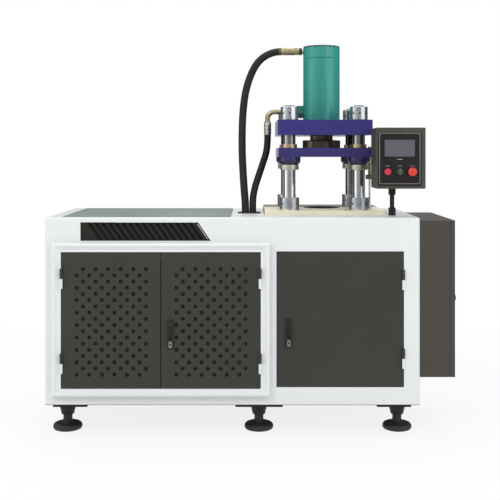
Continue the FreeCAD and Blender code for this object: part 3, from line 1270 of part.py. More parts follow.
def make_motor_and_pump():
    axis = ("motor_x", "motor_y", "motor_z")
    end = "cowl_long + motor_long"
    shell = turned("motor_shell", axis,
                   [("30", "0"), ("motor_round", "0"), ("motor_round", end + " - 12"),
                    ("motor_round + 4", end + " - 12"), ("motor_round + 4", end),
                    ("shaft_round + fit", end), ("shaft_round + fit", "cowl_long"),
                    ("motor_round - 3", "cowl_long"), ("motor_round - 3", "3"), ("30", "3")], "x")
    feet = [block("motor_foot_%d" % step, ("motor_x + cowl_long + %s" % start, "motor_y - 85", "lid_top"),
                  ("motor_x + cowl_long + %s + 45" % start, "motor_y + 85", "motor_z - motor_round + 12"))
            for step, start in enumerate(("25", "165"))]
    box = block("motor_box", ("motor_x + cowl_long + 60", "motor_y - 40", "motor_z + motor_round - 8"),
                ("motor_x + cowl_long + 170", "motor_y + 40", "motor_z + motor_round + 38"))
    piece("drive_motor", join("drive_motor", [shell] + feet + [box]))

    fan = [("0", "12"), ("shaft_round + 6", "12"), ("shaft_round + 6", "30"), ("70", "30"), ("70", "44"),
           ("shaft_round + 6", "44"), ("shaft_round", "44"), ("shaft_round", end + " + bell_long - 22"),
           ("0", end + " + bell_long - 22")]
    piece("motor_shaft", turned("motor_shaft", axis, fan, "x"))

    bell = turned("bell_housing", ("bell_x",) + axis[1:],
                  [("bell_round - 20", "0"), ("motor_round + 4", "0"), ("motor_round + 4", "12"),
                   ("bell_round", "18"), ("bell_round - 8", "bell_long"), ("pump_round - 26", "bell_long"),
                   ("pump_round - 26", "bell_long - 12"), ("bell_round - 20", "bell_long - 12")], "x")
    pump = turned("pump_body", ("pump_x",) + axis[1:],
                  [("0", "-16"), ("12", "-16"), ("12", "0"), ("pump_round + 12", "0"), ("pump_round + 12", "16"),
                   ("pump_round", "16"), ("pump_round", "pump_long - 8"), ("pump_round - 8", "pump_long"),
                   ("0", "pump_long")], "x")
    piece("gear_pump", group("gear_pump", [bell, pump]))


def hose_ends():
    """Where the two hoses, and the pipes under them, stand in the slot."""
    return [("slot_x - hose_gap / 2", "slot_y"), ("slot_x + hose_gap / 2", "slot_y")]


def make_manifold():
    core = block("manifold_core", ("slot_x - 52", "slot_y - 42", "lid_top"), ("slot_x + 52", "slot_y + 42", "manifold_top"))
    valves = []
    for step, rise in enumerate(("24", "70")):
        z = "lid_top + " + rise
        body = block("valve_%d" % step, ("slot_x - 28", "slot_y - 92", z + " - 20"),
                     ("slot_x + 28", "slot_y - 42", z + " + 18"))
        coils = rod("valve_coils_%d" % step, ("slot_x - 84", "slot_y - 68", z), "18.5", "168", "x")
        valves.append(join("valve_all_%d" % step, [body, coils]))
    piece("valve_manifold", group("valve_manifold", [core] + valves))


def tube_path(points, bends):
    """Centre line through points, each bend a tangent arc of its own radius."""
    edges = []
    last = points[0]
    for before, corner, after, radius in zip(points, points[1:], points[2:], bends):
        back = (before - corner).normalize()
        ahead = (after - corner).normalize()
        half = back.getAngle(ahead) / 2
        reach = radius / math.tan(half)
        start = corner + back * reach
        end = corner + ahead * reach
        middle = (back + ahead).normalize()
        centre = corner + middle * (radius / math.sin(half))
        edges.append(Part.LineSegment(last, start).toShape())
        edges.append(Part.Arc(start, centre - middle * radius, end).toShape())
        last = end
    edges.append(Part.LineSegment(last, points[-1]).toShape())
    return Part.Wire(edges)


def bend_radii(points):
    """Bend radius at every inner point, from the room beside it; two bends share an inner run."""
    radii = []
    last = len(points) - 3
    for place, (before, corner, after) in enumerate(zip(points, points[1:], points[2:])):
        turn = math.pi - (before - corner).getAngle(after - corner)
        room = min((corner - before).Length * (0.45 if place else 0.9),
                   (after - corner).Length * (0.45 if place < last else 0.9))
        radii.append(room / math.tan(turn / 2))
    return radii


def swept(name, path, radius):
    """Round bar along a path."""
    start = path.Edges[0]
    profile = Part.Wire(Part.makeCircle(radius, start.valueAt(start.FirstParameter), start.tangentAt(start.FirstParameter)))
    solid = path.makePipeShell([profile], True, False, 2)
    expected = math.pi * radius ** 2 * path.Length
    print("%s: length %.1f, volume share %.4f" % (name, path.Length, solid.Volume / expected))
    obj = doc.addObject("Part::Feature", name)
    obj.Shape = solid
    return obj


def port_points():
    """The two hose starts on the press, as points."""
    wide = FreeCAD.Vector(places.press_x - sizes.barrel_round - sizes.union_long, places.press_y, places.cap_z + sizes.port_rise)
    slim = FreeCAD.Vector(places.press_x - sizes.return_left, places.press_y, places.crown_top - sizes.return_low)
    return wide, slim


def hexagon(name, base, across, length, axis):
    nut = doc.addObject("Part::Prism", name)
    nut.Polygon = 6
    drive(nut, "Circumradius", across)
    drive(nut, "Height", length)
    return seat(nut, base, axis)


def make_fittings():
    wide, slim = port_points()
    face = ("press_x - barrel_round", "press_y", "cap_z + port_rise")
    parts = [rod("union_spigot", ("press_x - barrel_round + 12",) + face[1:], "port_round - fit", "14", "-x"),
             hexagon("union_hex", face, "16.5", "11", "-x"),
             rod("union_ring", ("press_x - barrel_round - 11",) + face[1:], "11.5", "7", "-x"),
             hexagon("union_nut", ("press_x - barrel_round - 17",) + face[1:], "18.2", "27", "-x"),
             turned("union_ferrule", ("press_x - barrel_round - 44",) + face[1:],
                    [("0", "0"), ("16.2", "0"), ("16.2", "12"), ("15.6", "14"), ("16.2", "16"), ("16.2", "30"),
                     ("15.6", "32"), ("16.2", "34"), ("16.2", "49"), ("15.6", "51"), ("0", "51")], "-x")]
    upper = join("upper_union", parts)

    port_z = "crown_top + low_port_rise"
    block_x = places.press_x - sizes.barrel_round - 27.5
    level = places.crown_top + sizes.low_port_rise
    start = FreeCAD.Vector(block_x - 10, places.press_y, level)
    corner = FreeCAD.Vector(slim.x, places.press_y, level)
    pipe = swept("return_pipe", tube_path([start, corner, slim + FreeCAD.Vector(0, 0, 60)], [28]), 10.5)
    nut = hexagon("return_nut", ("press_x - barrel_round - 27.5", "press_y", port_z), "15.5", "20", "-x")
    spigot = rod("return_spigot", ("press_x - barrel_round - 17.5", "press_y", port_z), "port_round - fit", "12", "-x")
    ferrule = turned("return_ferrule", ("press_x - return_left", "press_y", "crown_top - return_low"),
                     [("0", "0"), ("14.6", "0"), ("15.6", "2"), ("15.6", "15"), ("15", "17"), ("15.6", "19"),
                      ("15.6", "33"), ("15", "35"), ("15.6", "37"), ("15.6", "48"), ("13", "50"), ("0", "50")])
    cap = hexagon("return_cap", ("press_x - return_left", "press_y", "crown_top - return_low + 50"), "13.2", "9", "z")
    lower = join("lower_union", [pipe, nut, spigot, ferrule, cap])
    piece("port_fittings", group("port_fittings", [upper, lower]))


# Hose route points as shares of the way from the fitting to the slot, across, back and down.
WIDE_SHARES = [(0.1879, 0, 0), (0.5296, 0.0022, 0.0355), (0.7774, 0.0391, 0.1022), (0.9893, 0.121, 0.2273),
               (1.0741, 0.2576, 0.3681), (1.0956, 0.3908, 0.4907), (1.095, 0.5447, 0.6309),
               (1.0653, 0.7082, 0.7577), (1.0319, 0.8557, 0.8602)]
SLIM_SHARES = [(0, 0, 0.0946), (0.0802, 0.1133, 0.2266), (0.3658, 0.292, 0.3855), (0.6224, 0.5086, 0.5286),
               (0.8286, 0.6771, 0.6414), (0.9971, 0.8973, 0.7926)]


def make_hoses():
    wide, slim = port_points()
    level = places.plug_z
    ends = [FreeCAD.Vector(places.slot_x - sizes.hose_gap / 2, places.slot_y, level),
            FreeCAD.Vector(places.slot_x + sizes.hose_gap / 2, places.slot_y, level)]
    routes = (("upper_hose", wide, WIDE_SHARES, ends[0], 42, sizes.hose_wide / 2),
              ("lower_hose", slim, SLIM_SHARES, ends[1], 30, sizes.hose_slim / 2))
    for name, start, shares, end, rise, radius in routes:
        way = end - start
        points = [start] + [start + FreeCAD.Vector(way.x * across, way.y * back, way.z * down)
                            for across, back, down in shares]
        points += [end + FreeCAD.Vector(0, 0, rise), end]
        radii = bend_radii(points)
        print(name, "points", [(round(p.x, 1), round(p.y, 1), round(p.z, 1)) for p in points])
        print(name, "runs", [round((b - a).Length, 1) for a, b in zip(points, points[1:])])
        print(name, "bend radii in diameters", [round(value / radius / 2, 1) for value in radii])
        piece(name, swept(name, tube_path(points, radii), radius))


def make_riser_pipes():
    pipes = []
    for step, (x, y) in enumerate(hose_ends()):
        top = "plug_z - grommet_depth - manifold_top"
        pipes.append(turned("riser_%d" % step, (x, y, "manifold_top"),
                            [("0", "0"), ("12", "0"), ("12", "16"), ("8.5", "18"), ("8.5", top + " - 26"),
                             ("12", top + " - 24"), ("12", top), ("0", top)]))
    start = "pump_x + pump_long"
    long = "slot_x - 52 - (%s)" % start
    pipes.append(turned("feed_pipe", (start, "motor_y", "motor_z - 30"),
                        [("0", "0"), ("16", "0"), ("16", "16"), ("9", "18"), ("9", long + " - 18"),
                         ("16", long + " - 16"), ("16", long), ("0", long)], "x"))
    piece("riser_pipes", group("riser_pipes", pipes))


def check_document():
    """Stop when an object failed, is empty, or a cut removed nothing."""
    doc.recompute()
    for obj in doc.Objects:
        if "Invalid" in obj.State or "Error" in obj.State:
            raise RuntimeError("%s is in error" % obj.Name)
        if hasattr(obj, "Shape") and obj.TypeId != "Sketcher::SketchObject":
            if obj.TypeId.startswith("App::") or obj.Name.endswith(("_across", "_down")):
                continue
            if obj.Shape.isNull() or not obj.Shape.isValid():
                raise RuntimeError("%s has no sound shape" % obj.Name)
    for feature, base in cuts:
        if feature.Shape.Volume > base.Shape.Volume - 1:
            raise RuntimeError("%s removes nothing" % feature.Name)


def write_parts():
    os.makedirs("parts", exist_ok=True)
    for obj in pieces:
        obj.Shape.exportStep("parts/%s.step" % obj.Label)
        print("%-22s %2d solids" % (obj.Label, len(obj.Shape.Solids)))
    print(len(pieces), "pieces")


def make_all():
    fill_tables()
    for make in (make_tube_frame, make_floor_pan, make_top_cover, make_front_fascia, make_side_panels,
                 make_rear_covers, make_door_surround, make_intake_grille, make_work_mat, make_hose_grommet,
                 make_feet, make_hinge_pintles, make_doors, make_bolster, make_columns, make_collars_and_nuts,
                 make_crown, make_cylinder, make_ram, make_stroke_sensor, make_ejector, make_electrical_box,
                 make_panel, make_tank, make_motor_and_pump, make_manifold, make_fittings, make_hoses,
                 make_riser_pipes):
        make()
    check_document()
    write_parts()


make_all()
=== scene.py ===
# %% [markdown]
# A hydraulic powder press on a white cabinet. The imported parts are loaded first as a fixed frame,
# so every piece made here goes where the parts say, in metres, with +X right, +Y away and +Z up.

# %% Load the frame
import math

import bmesh
import bpy
from mathutils import Matrix, Vector


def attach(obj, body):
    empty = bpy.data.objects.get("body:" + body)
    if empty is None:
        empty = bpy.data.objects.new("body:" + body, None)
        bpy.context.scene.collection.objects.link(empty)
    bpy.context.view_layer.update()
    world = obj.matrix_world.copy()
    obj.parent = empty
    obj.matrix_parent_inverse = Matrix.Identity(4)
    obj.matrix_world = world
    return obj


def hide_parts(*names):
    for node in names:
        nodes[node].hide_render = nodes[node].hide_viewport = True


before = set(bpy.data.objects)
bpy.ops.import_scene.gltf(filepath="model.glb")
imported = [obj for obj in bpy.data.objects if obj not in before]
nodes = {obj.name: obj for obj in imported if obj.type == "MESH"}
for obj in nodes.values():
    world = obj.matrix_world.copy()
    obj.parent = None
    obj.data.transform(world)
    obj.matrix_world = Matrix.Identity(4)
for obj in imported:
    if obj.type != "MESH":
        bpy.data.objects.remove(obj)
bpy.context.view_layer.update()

# %% [markdown]
# The camera stands where the photographer stood: three and a half metres in front of the doors and a
# little above the cabinet's top. It looks level, so the uprights stay parallel, and the lens is shifted
# down to bring the whole machine into the picture, as an architect's camera does.

# %% Camera
FRAME_PIXELS = 500
FOCAL_PIXELS = 904.0
HORIZON_PIXEL = 153.0

eye = bpy.data.cameras.new("eye")
eye.sensor_width = 36.0
eye.lens = 36.0 * FOCAL_PIXELS / FRAME_PIXELS
eye.shift_y = (HORIZON_PIXEL - FRAME_PIXELS / 2) / FRAME_PIXELS
camera = bpy.data.objects.new("camera", eye)
camera.location = (-0.0044, -3.7815, 1.095)
camera.rotation_euler = (math.pi / 2, 0.0, 0.0)
bpy.context.collection.objects.link(camera)
bpy.context.scene.camera = camera
print("lens", round(eye.lens, 1), "shift", round(eye.shift_y, 3))

# %% [markdown]
# Both hoses hang free between the press and the slot in the cabinet's top. A hose could be a bent mesh
# tube, but a smooth curve with a round bevel stays even along its whole length and bends as rubber does.
# Its control points are the route's own points, and the curve cuts a little inside their corners.

# %% Hoses
rubber = bpy.data.materials.new("hose_rubber")
WIDE = 0.031
SLIM = 0.0285
WIDE_ROUTE = [
    (0.1275, 0.0735, 1.527), (0.0992, 0.0735, 1.527), (0.0477, 0.0733, 1.5026), (0.0103, 0.0699, 1.4568),
    (-0.0216, 0.0622, 1.3709), (-0.0344, 0.0495, 1.2741), (-0.0377, 0.0372, 1.1899),
    (-0.0376, 0.0228, 1.0936), (-0.0331, 0.0076, 1.0065), (-0.0281, -0.0061, 0.936),
    (-0.02325, -0.0195, 0.882), (-0.02325, -0.0195, 0.84)]
SLIM_ROUTE = [
    (0.0705, 0.0735, 1.172), (0.0705, 0.0735, 1.1406), (0.0654, 0.063, 1.0968), (0.0474, 0.0463, 1.044),
    (0.0311, 0.0262, 0.9965), (0.0181, 0.0105, 0.959), (0.0074, -0.0099, 0.9089), (0.00725, -0.0195, 0.87),
    (0.00725, -0.0195, 0.84)]


def link_new(name, data):
    """Object with that data, linked to the scene."""
    obj = bpy.data.objects.new(name, data)
    bpy.context.collection.objects.link(obj)
    return obj


def hose_curve(name, route, diameter):
    """Round rubber hose along a smooth curve through the route's control points."""
    data = bpy.data.curves.new(name, "CURVE")
    data.dimensions = "3D"
    spline = data.splines.new("NURBS")
    spline.points.add(len(route) - 1)
    for point, place in zip(spline.points, route):
        point.co = (*place, 1.0)
    spline.order_u = 3
    spline.use_endpoint_u = True
    spline.resolution_u = 12
    data.bevel_depth = diameter / 2
    data.bevel_resolution = 6
    data.use_fill_caps = True
    data.materials.append(rubber)
    return link_new(name, data)


def curve_length(route):
    """Real length of the smooth curve, measured on a copy without its bevel."""
    bare = hose_curve("measure", route, 0.0)
    depsgraph = bpy.context.evaluated_depsgraph_get()
    mesh = bpy.data.meshes.new_from_object(bare.evaluated_get(depsgraph))
    points = [vertex.co for vertex in mesh.vertices]
    total = sum((b - a).length for a, b in zip(points, points[1:]))
    bpy.data.objects.remove(bare)
    return total


pressure_hose = hose_curve("pressure_hose", WIDE_ROUTE, WIDE)
return_hose = hose_curve("return_hose", SLIM_ROUTE, SLIM)
for hose, route, diameter, node in ((pressure_hose, WIDE_ROUTE, WIDE, "upper_hose"),
                                    (return_hose, SLIM_ROUTE, SLIM, "lower_hose")):
    length = curve_length(route)
    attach(hose, "machine")
    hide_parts(node)
    print(hose.name, "is", round(length, 3), "m long")

# %% [markdown]
# A studio picture has a pale floor, soft lamps and a white background. The white is put in for camera,
# mirror and see-through rays only, so it shows behind the machine and in its metal but throws no extra
# light on it. The floor keeps a share of plain paint near the machine, which holds the soft shadow.

# %% Floor and background
WHITE = (1.0, 1.0, 1.0, 1.0)


def feed(tree, node, inputs):
    """Set a node's inputs to values, or link them where another node's output is given."""
    for label, value in inputs.items():
        if isinstance(value, bpy.types.NodeSocket):
            tree.links.new(value, node.inputs[label])
        else:
            node.inputs[label].default_value = value
    return node


def add(tree, kind, inputs=None, **settings):
    """New shader node with its settings and inputs."""
    node = tree.nodes.new("ShaderNode" + kind)
    for label, value in settings.items():
        setattr(node, label, value)
    return feed(tree, node, inputs or {})


def joined(tree, operation, first, second):
    """Math on two sockets or numbers."""
    return add(tree, "Math", {0: first, 1: second}, operation=operation).outputs[0]


def remap(tree, value, low, high, start, end, interpolation="SMOOTHSTEP"):
    """Value carried from the range low to high into the range start to end."""
    inputs = {"Value": value, "From Min": low, "From Max": high, "To Min": start, "To Max": end}
    return add(tree, "MapRange", inputs, interpolation_type=interpolation).outputs[0]


def own_place(tree):
    """The piece's own coordinates."""
    return add(tree, "TexCoord").outputs["Object"]


def seen_directly(tree):
    """One where the camera, a mirror or glass looks, nought for the rays that light things."""
    path = add(tree, "LightPath").outputs
    mirror = joined(tree, "MAXIMUM", path["Is Camera Ray"], path["Is Glossy Ray"])
    return joined(tree, "MAXIMUM", mirror, path["Is Transmission Ray"])


def principled(name, colour, roughness, metallic=0.0):
    """Material with its uniform values set on the shader, and the parts of its tree."""
    material = bpy.data.materials.get(name) or bpy.data.materials.new(name)
    material.use_nodes = True
    material.diffuse_color = (*colour, 1.0)
    tree = material.node_tree
    shader = feed(tree, tree.nodes["Principled BSDF"],
                  {"Base Color": (*colour, 1.0), "Roughness": roughness, "Metallic": metallic})
    return material, tree, shader


def flat_piece(name, corners, material):
    """Four-cornered stage piece."""
    mesh = bpy.data.meshes.new(name)
    mesh.from_pydata(corners, [], [(0, 1, 2, 3)])
    mesh.materials.append(material)
    piece = link_new(name, mesh)
    return piece


def build_world(fill_strength):
    world = bpy.data.worlds.new("studio")
    bpy.context.scene.world = world
    world.use_nodes = True
    tree = world.node_tree
    tree.nodes.clear()
    fill, seen = [add(tree, "Background", {"Color": WHITE, "Strength": strength}).outputs[0]
                  for strength in (fill_strength, 1.0)]
    mix = add(tree, "MixShader", {0: seen_directly(tree), 1: fill, 2: seen})
    add(tree, "OutputWorld", {"Surface": mix.outputs[0]})


def build_floor(reach, white_share):
    """Pale floor whose white grows from a share near the machine to all of it far away."""
    material, tree, shader = principled("floor_white", (0.93, 0.93, 0.93), 0.8)
    away = add(tree, "VectorMath", {0: own_place(tree)}, operation="LENGTH").outputs["Value"]
    share = joined(tree, "MULTIPLY", seen_directly(tree), remap(tree, away, 0.9, 2.6, white_share, 1.0))
    white = add(tree, "Emission", {"Color": WHITE, "Strength": 1.0})
    mix = add(tree, "MixShader", {0: share, 1: shader.outputs[0], 2: white.outputs[0]})
    feed(tree, tree.nodes["Material Output"], {"Surface": mix.outputs[0]})
    sides = ((-1, -1), (1, -1), (1, 1), (-1, 1))
    flat_piece("floor", [(reach * x, reach * y, 0.0) for x, y in sides], material)


build_world(0.62)
build_floor(30.0, 0.84)
print("floor and white background made")

# %% [markdown]
# Soft lamps light the front from above. Two tall ones at the sides draw the bright upright streaks
# on round steel and on the cylinder. Grey cards, seen by mirrors only, stand behind the camera and at
# both sides behind the machine. They give polished steel something darker than white to show, as a
# real room does, and so round bars get their dark edges.

# %% Lamps and grey cards
LAMPS = [("key", (-1.6, -3.4, 3.2), (0.0, 0.0, 0.7), (2.6, 1.8), 58),
         ("fill", (2.6, -3.0, 2.4), (0.2, 0.0, 0.8), (1.6, 2.2), 30),
         ("top", (0.2, 0.6, 3.6), (0.1, 0.0, 0.9), (2.4, 1.6), 26),
         ("left_strip", (-2.7, -0.75, 1.55), (0.3, 0.07, 1.25), (0.6, 1.7), 7),
         ("right_strip", (3.1, -1.35, 1.55), (0.3, 0.07, 1.25), (0.6, 1.7), 9)]
CARD_LOW, CARD_HIGH = -0.2, 3.4
CARDS = [("front_card", (-3.4, -4.6), (3.4, -4.6), 0.44),
         ("left_side_card", (-5.9, 1.0), (-5.0, 3.2), 0.22),
         ("left_rear_card", (-5.0, 3.2), (-1.0, 5.9), 0.12),
         ("right_rear_card", (1.6, 5.9), (5.6, 3.2), 0.12),
         ("right_side_card", (5.6, 3.2), (6.4, -2.6), 0.22)]
for name, place, target, size, power in LAMPS:
    lamp = bpy.data.lights.new(name, "AREA")
    lamp.shape = "RECTANGLE"
    lamp.size, lamp.size_y = size
    lamp.energy = power
    obj = link_new(name, lamp)
    obj.location = place
    obj.rotation_euler = (Vector(target) - Vector(place)).to_track_quat("-Z", "Y").to_euler()
for name, start, end, grey in CARDS:
    corners = [(*start, CARD_LOW), (*end, CARD_LOW), (*end, CARD_HIGH), (*start, CARD_HIGH)]
    card = flat_piece(name, corners, principled(name, (grey, grey, grey), 0.9)[0])
    card.visible_camera = card.visible_diffuse = card.visible_shadow = card.visible_transmission = False
bpy.context.scene.view_settings.view_transform = "Standard"
print("lamps", [lamp[0] for lamp in LAMPS], "cards", len(CARDS))

# %% [markdown]
# Paint and metal are not one flat colour. Powder coat has a fine orange skin, cast parts have streaks
# under their paint, and everything picks up faint dirt. One helper makes each painted finish from two
# noises: a slow one that drifts the colour and a fine one that lifts the surface.

# %% Paint and plastic finishes
EVEN = (1.0, 1.0, 1.0)


def srgb(*colour):
    """Linear colour from three 0 to 255 values read as they look on a screen."""
    shares = [value / 255.0 for value in colour]
    return tuple(share / 12.92 if share <= 0.04045 else ((share + 0.055) / 1.055) ** 2.4 for share in shares)


def object_noise(tree, scale, detail=2.0, stretch=EVEN):
    """Noise on the piece's own coordinates, drawn out along an axis where the finish has a grain."""
    mapping = add(tree, "Mapping", {"Vector": own_place(tree), "Scale": stretch})
    return add(tree, "TexNoise", {"Vector": mapping.outputs[0], "Scale": scale, "Detail": detail}).outputs[0]


def vary_colour(tree, shader, noise, dark, light):
    ramp = add(tree, "ValToRGB", {0: noise})
    for element, position, colour in zip(ramp.color_ramp.elements, (0.32, 0.68), (dark, light)):
        element.position = position
        element.color = (*colour, 1.0)
    feed(tree, shader, {"Base Color": ramp.outputs[0]})


def drift_colour(tree, shader, noise, colour, drift):
    """Colour that goes a share darker and a share lighter with a noise."""
    shades = [[min(1.0, channel * factor) for channel in colour] for factor in (1.0 - drift, 1.0 + drift)]
    vary_colour(tree, shader, noise, *shades)


def add_bump(tree, shader, height, strength, distance):
    bump = add(tree, "Bump", {"Height": height, "Strength": strength, "Distance": distance})
    feed(tree, shader, {"Normal": bump.outputs[0]})


def paint(name, colour, roughness, skin=(420.0, 0.12, 0.0004), drift=0.05, coat=0.0, shine=0.5, streak=EVEN):
    """Painted or moulded finish: skin is the fine noise's scale, bump strength and bump distance."""
    colour = srgb(*colour)
    material, tree, shader = principled(name, colour, roughness)
    feed(tree, shader, {"Coat Weight": coat, "Coat Roughness": 0.12, "Specular IOR Level": shine})
    drift_colour(tree, shader, object_noise(tree, 2.4, 3.0, streak), colour, drift)
    add_bump(tree, shader, object_noise(tree, skin[0]), skin[1], skin[2])
    return material


white_coat = paint("white_coat", (223, 226, 227), 0.42, (520.0, 0.1, 0.0003), 0.015)
door_coat = paint("door_coat", (53, 53, 47), 0.55, (900.0, 0.22, 0.0004), 0.07, shine=0.3)
vent_coat = paint("vent_coat", (32, 30, 26), 0.55, (700.0, 0.15, 0.0003), 0.05, shine=0.25)
box_coat = paint("box_coat", (63, 59, 54), 0.5, (800.0, 0.2, 0.0004), 0.05, shine=0.4)
frame_coat = paint("frame_coat", (40, 41, 42), 0.5, (600.0, 0.15, 0.0004), 0.06)
panel_coat = paint("panel_coat", (64, 66, 56), 0.42, (260.0, 0.3, 0.0006), 0.1, shine=0.4)
blue_gloss = paint("blue_gloss", (46, 40, 112), 0.32, (160.0, 0.1, 0.0006), 0.08, 0.15, shine=0.4)
green_gloss = paint("green_gloss", (42, 144, 132), 0.38, (140.0, 0.12, 0.0007), 0.14, 0.1, 0.4,
                    (14.0, 14.0, 1.2))
tank_coat = paint("tank_coat", (112, 118, 122), 0.45, (300.0, 0.15, 0.0005), 0.05)
motor_coat = paint("motor_coat", (60, 74, 92), 0.45, (200.0, 0.25, 0.0007), 0.08)
latch_coat = paint("latch_coat", (24, 24, 23), 0.38, (700.0, 0.12, 0.0003), 0.05)
lever_coat = paint("lever_coat", (26, 22, 19), 0.46, (700.0, 0.12, 0.0003), 0.06, shine=0.3)
device_plastic = paint("device_plastic", (126, 128, 126), 0.5, (500.0, 0.08, 0.0003), 0.04)
duct_plastic = paint("duct_plastic", (150, 154, 152), 0.55, (500.0, 0.06, 0.0003), 0.03)
plate_black = paint("plate_black", (20, 17, 18), 0.36, (900.0, 0.05, 0.0002), 0.05, shine=0.4)
screen_glass = paint("screen_glass", (90, 90, 98), 0.22, (60.0, 0.02, 0.0002), 0.08, 0.4)
label_grey = paint("label_grey", (70, 74, 68), 0.5, (600.0, 0.05, 0.0002), 0.05)
lamp_pale = paint("lamp_pale", (190, 190, 184), 0.35, (300.0, 0.05, 0.0002), 0.03)
red_push = paint("red_push", (198, 38, 66), 0.35, (300.0, 0.04, 0.0002), 0.05, 0.2)
red_stop = paint("red_stop", (208, 50, 38), 0.35, (260.0, 0.1, 0.0004), 0.08, 0.2)
knob_plastic = paint("knob_plastic", (70, 84, 74), 0.4, (300.0, 0.05, 0.0002), 0.06)
foot_rubber = paint("foot_rubber", (41, 37, 34), 0.55, (240.0, 0.25, 0.0008), 0.14, shine=0.4)
seal_rubber = paint("seal_rubber", (26, 25, 24), 0.6, (300.0, 0.15, 0.0004), 0.08)
mat_rubber = paint("mat_rubber", (125, 137, 133), 0.62, (600.0, 0.25, 0.0004), 0.1, shine=0.3)
print(len(bpy.data.materials), "materials so far")

# %% [markdown]
# The hose's skin is cured in a cloth wrap, which leaves fine slanted lines on the rubber. A wave texture
# draws them as a bump, and a noise drifts the colour in patches.

# %% Hose rubber
_, tree, shader = principled("hose_rubber", srgb(32, 30, 26), 0.55)
feed(tree, shader, {"Specular IOR Level": 0.2})
vary_colour(tree, shader, object_noise(tree, 7.0, 3.0), srgb(28, 26, 23), srgb(40, 37, 32))
wave = add(tree, "TexWave", {"Vector": own_place(tree), "Scale": 60.0, "Distortion": 1.5},
           bands_direction="DIAGONAL")
add_bump(tree, shader, wave.outputs["Fac"], 0.25, 0.0004)
print("hose rubber made")

# %% [markdown]
# Turned and ground steel shines along its tool marks. A noise squeezed in one direction gives the marks:
# long along one axis and fine across it. It changes both the roughness and the height a little.

# %% Metal finishes
def metal(name, colour, roughness, stretch=EVEN, grain=200.0, drift=0.1, marks=0.05):
    material, tree, shader = principled(name, colour, roughness, 1.0)
    lines = object_noise(tree, grain, 2.0, stretch)
    rough = remap(tree, lines, 0.3, 0.7, max(0.02, roughness - 0.07), roughness + 0.09, "LINEAR")
    feed(tree, shader, {"Roughness": rough})
    drift_colour(tree, shader, object_noise(tree, 9.0, 3.0), colour, drift)
    add_bump(tree, shader, lines, marks, 0.0003)
    return material


chrome = metal("chrome", (0.62, 0.63, 0.66), 0.14, (1.0, 1.0, 40.0), 90.0, 0.08, 0.012)
bright_steel = metal("bright_steel", (0.6, 0.61, 0.64), 0.22, (1.0, 1.0, 40.0), 90.0, 0.08, 0.03)
machined_steel = metal("machined_steel", (0.42, 0.45, 0.47), 0.28, (1.0, 1.0, 30.0), 70.0, 0.14, 0.1)
ground_steel = metal("ground_steel", srgb(240, 234, 212), 0.5, (1.0, 40.0, 40.0), 60.0, 0.06, 0.06)
oiled_steel = metal("oiled_steel", srgb(103, 97, 84), 0.4, (1.0, 1.0, 30.0), 80.0, 0.2, 0.08)
zinc = metal("zinc", srgb(160, 152, 120), 0.38, EVEN, 120.0, 0.12, 0.08)
silver_trim = metal("silver_trim", srgb(184, 184, 170), 0.4)
brass_trim = metal("brass_trim", srgb(200, 174, 124), 0.38)
dull_trim = metal("dull_trim", srgb(150, 150, 143), 0.44)
lock_steel = metal("lock_steel", srgb(78, 78, 73), 0.46)
black_steel = metal("black_steel", (0.035, 0.033, 0.032), 0.45, (1.0, 1.0, 6.0), 90.0, 0.15, 0.08)
bronze = metal("bronze", srgb(184, 168, 136), 0.33, (1.0, 1.0, 30.0), 80.0, 0.1, 0.08)
print(len(bpy.data.materials), "materials in all")

# %% [markdown]
# Some finishes get a darker colour mixed in by place, and most of it is painted shade: the columns between
# the ram plate and the crown and the rear pair, where polished steel would mirror a dark room; the guide
# bosses underneath and the plates' rear; the port block; the middle of the barrel and its top rim; and the
# bed behind the die. Only the columns' blackened ends get a real dull film. A span says where: an axis,
# its two ends and how softly they fade.

# %% Painted shade and blackened column ends
GAP_SHADE = ("Z", 1.112, 1.172, 0.004)
REAR = ("Y", 0.1, 1.0, 0.02)
BLOCK = [("X", 0.0, 0.224, 0.002), ("Z", 1.0, 1.4, 0.002)]
# Painted reflection and painted shade: the columns between the plates and the rear pair darkened as if
# mirroring a dark room.
PAINTED_SHADES = [(chrome, [GAP_SHADE], (0.1, 0.09, 0.075), 0.6), (chrome, [REAR], (0.08, 0.075, 0.065), 0.7),
         (chrome, [GAP_SHADE, REAR], (0.015, 0.013, 0.011), 0.85),
         # Painted shade down the middle of the barrel and painted reflection on its top rim, then painted
         # shadow on the port block, darkest low down.
         (green_gloss, [("X", 0.274, 0.3, 0.02)], srgb(30, 108, 100), 0.5),
         (green_gloss, [("Z", 1.541, 2.0, 0.0015)], srgb(26, 56, 54), 0.85),
         (green_gloss, BLOCK, srgb(34, 86, 82), 0.6),
         (green_gloss, BLOCK + [("Z", 1.0, 1.264, 0.008)], srgb(20, 32, 32), 0.85),
         # Painted shade on the guide bosses' lower parts and on the plates' rear.
         (blue_gloss, [("Z", 1.0, 1.112, 0.002)], srgb(50, 42, 66), 0.35),
         (blue_gloss, [("Z", 1.0, 1.066, 0.014)], srgb(24, 20, 34), 0.75),
         (blue_gloss, [REAR, ("Z", 1.0, 1.078, 0.004)], srgb(20, 18, 26), 0.8)]
# The columns' blackened ends are a real dull film; the bed behind the die gets painted shade.
DULL_BLACKENING_AND_SHADE = [(chrome, [("Z", 1.2848, 2.0, 0.0004)], (0.02, 0.018, 0.016), 0.9),
              (ground_steel, [("Y", 0.11, 1.0, 0.04)], (0.13, 0.115, 0.09), 0.85)]


def between(tree, axis, low, high, soft):
    """One where the piece's own coordinate lies between two values, nought outside."""
    value = add(tree, "SeparateXYZ", {0: own_place(tree)}).outputs[axis]
    return joined(tree, "MULTIPLY", remap(tree, value, low - soft, low + soft, 0.0, 1.0),
                  remap(tree, value, high - soft, high + soft, 1.0, 0.0))


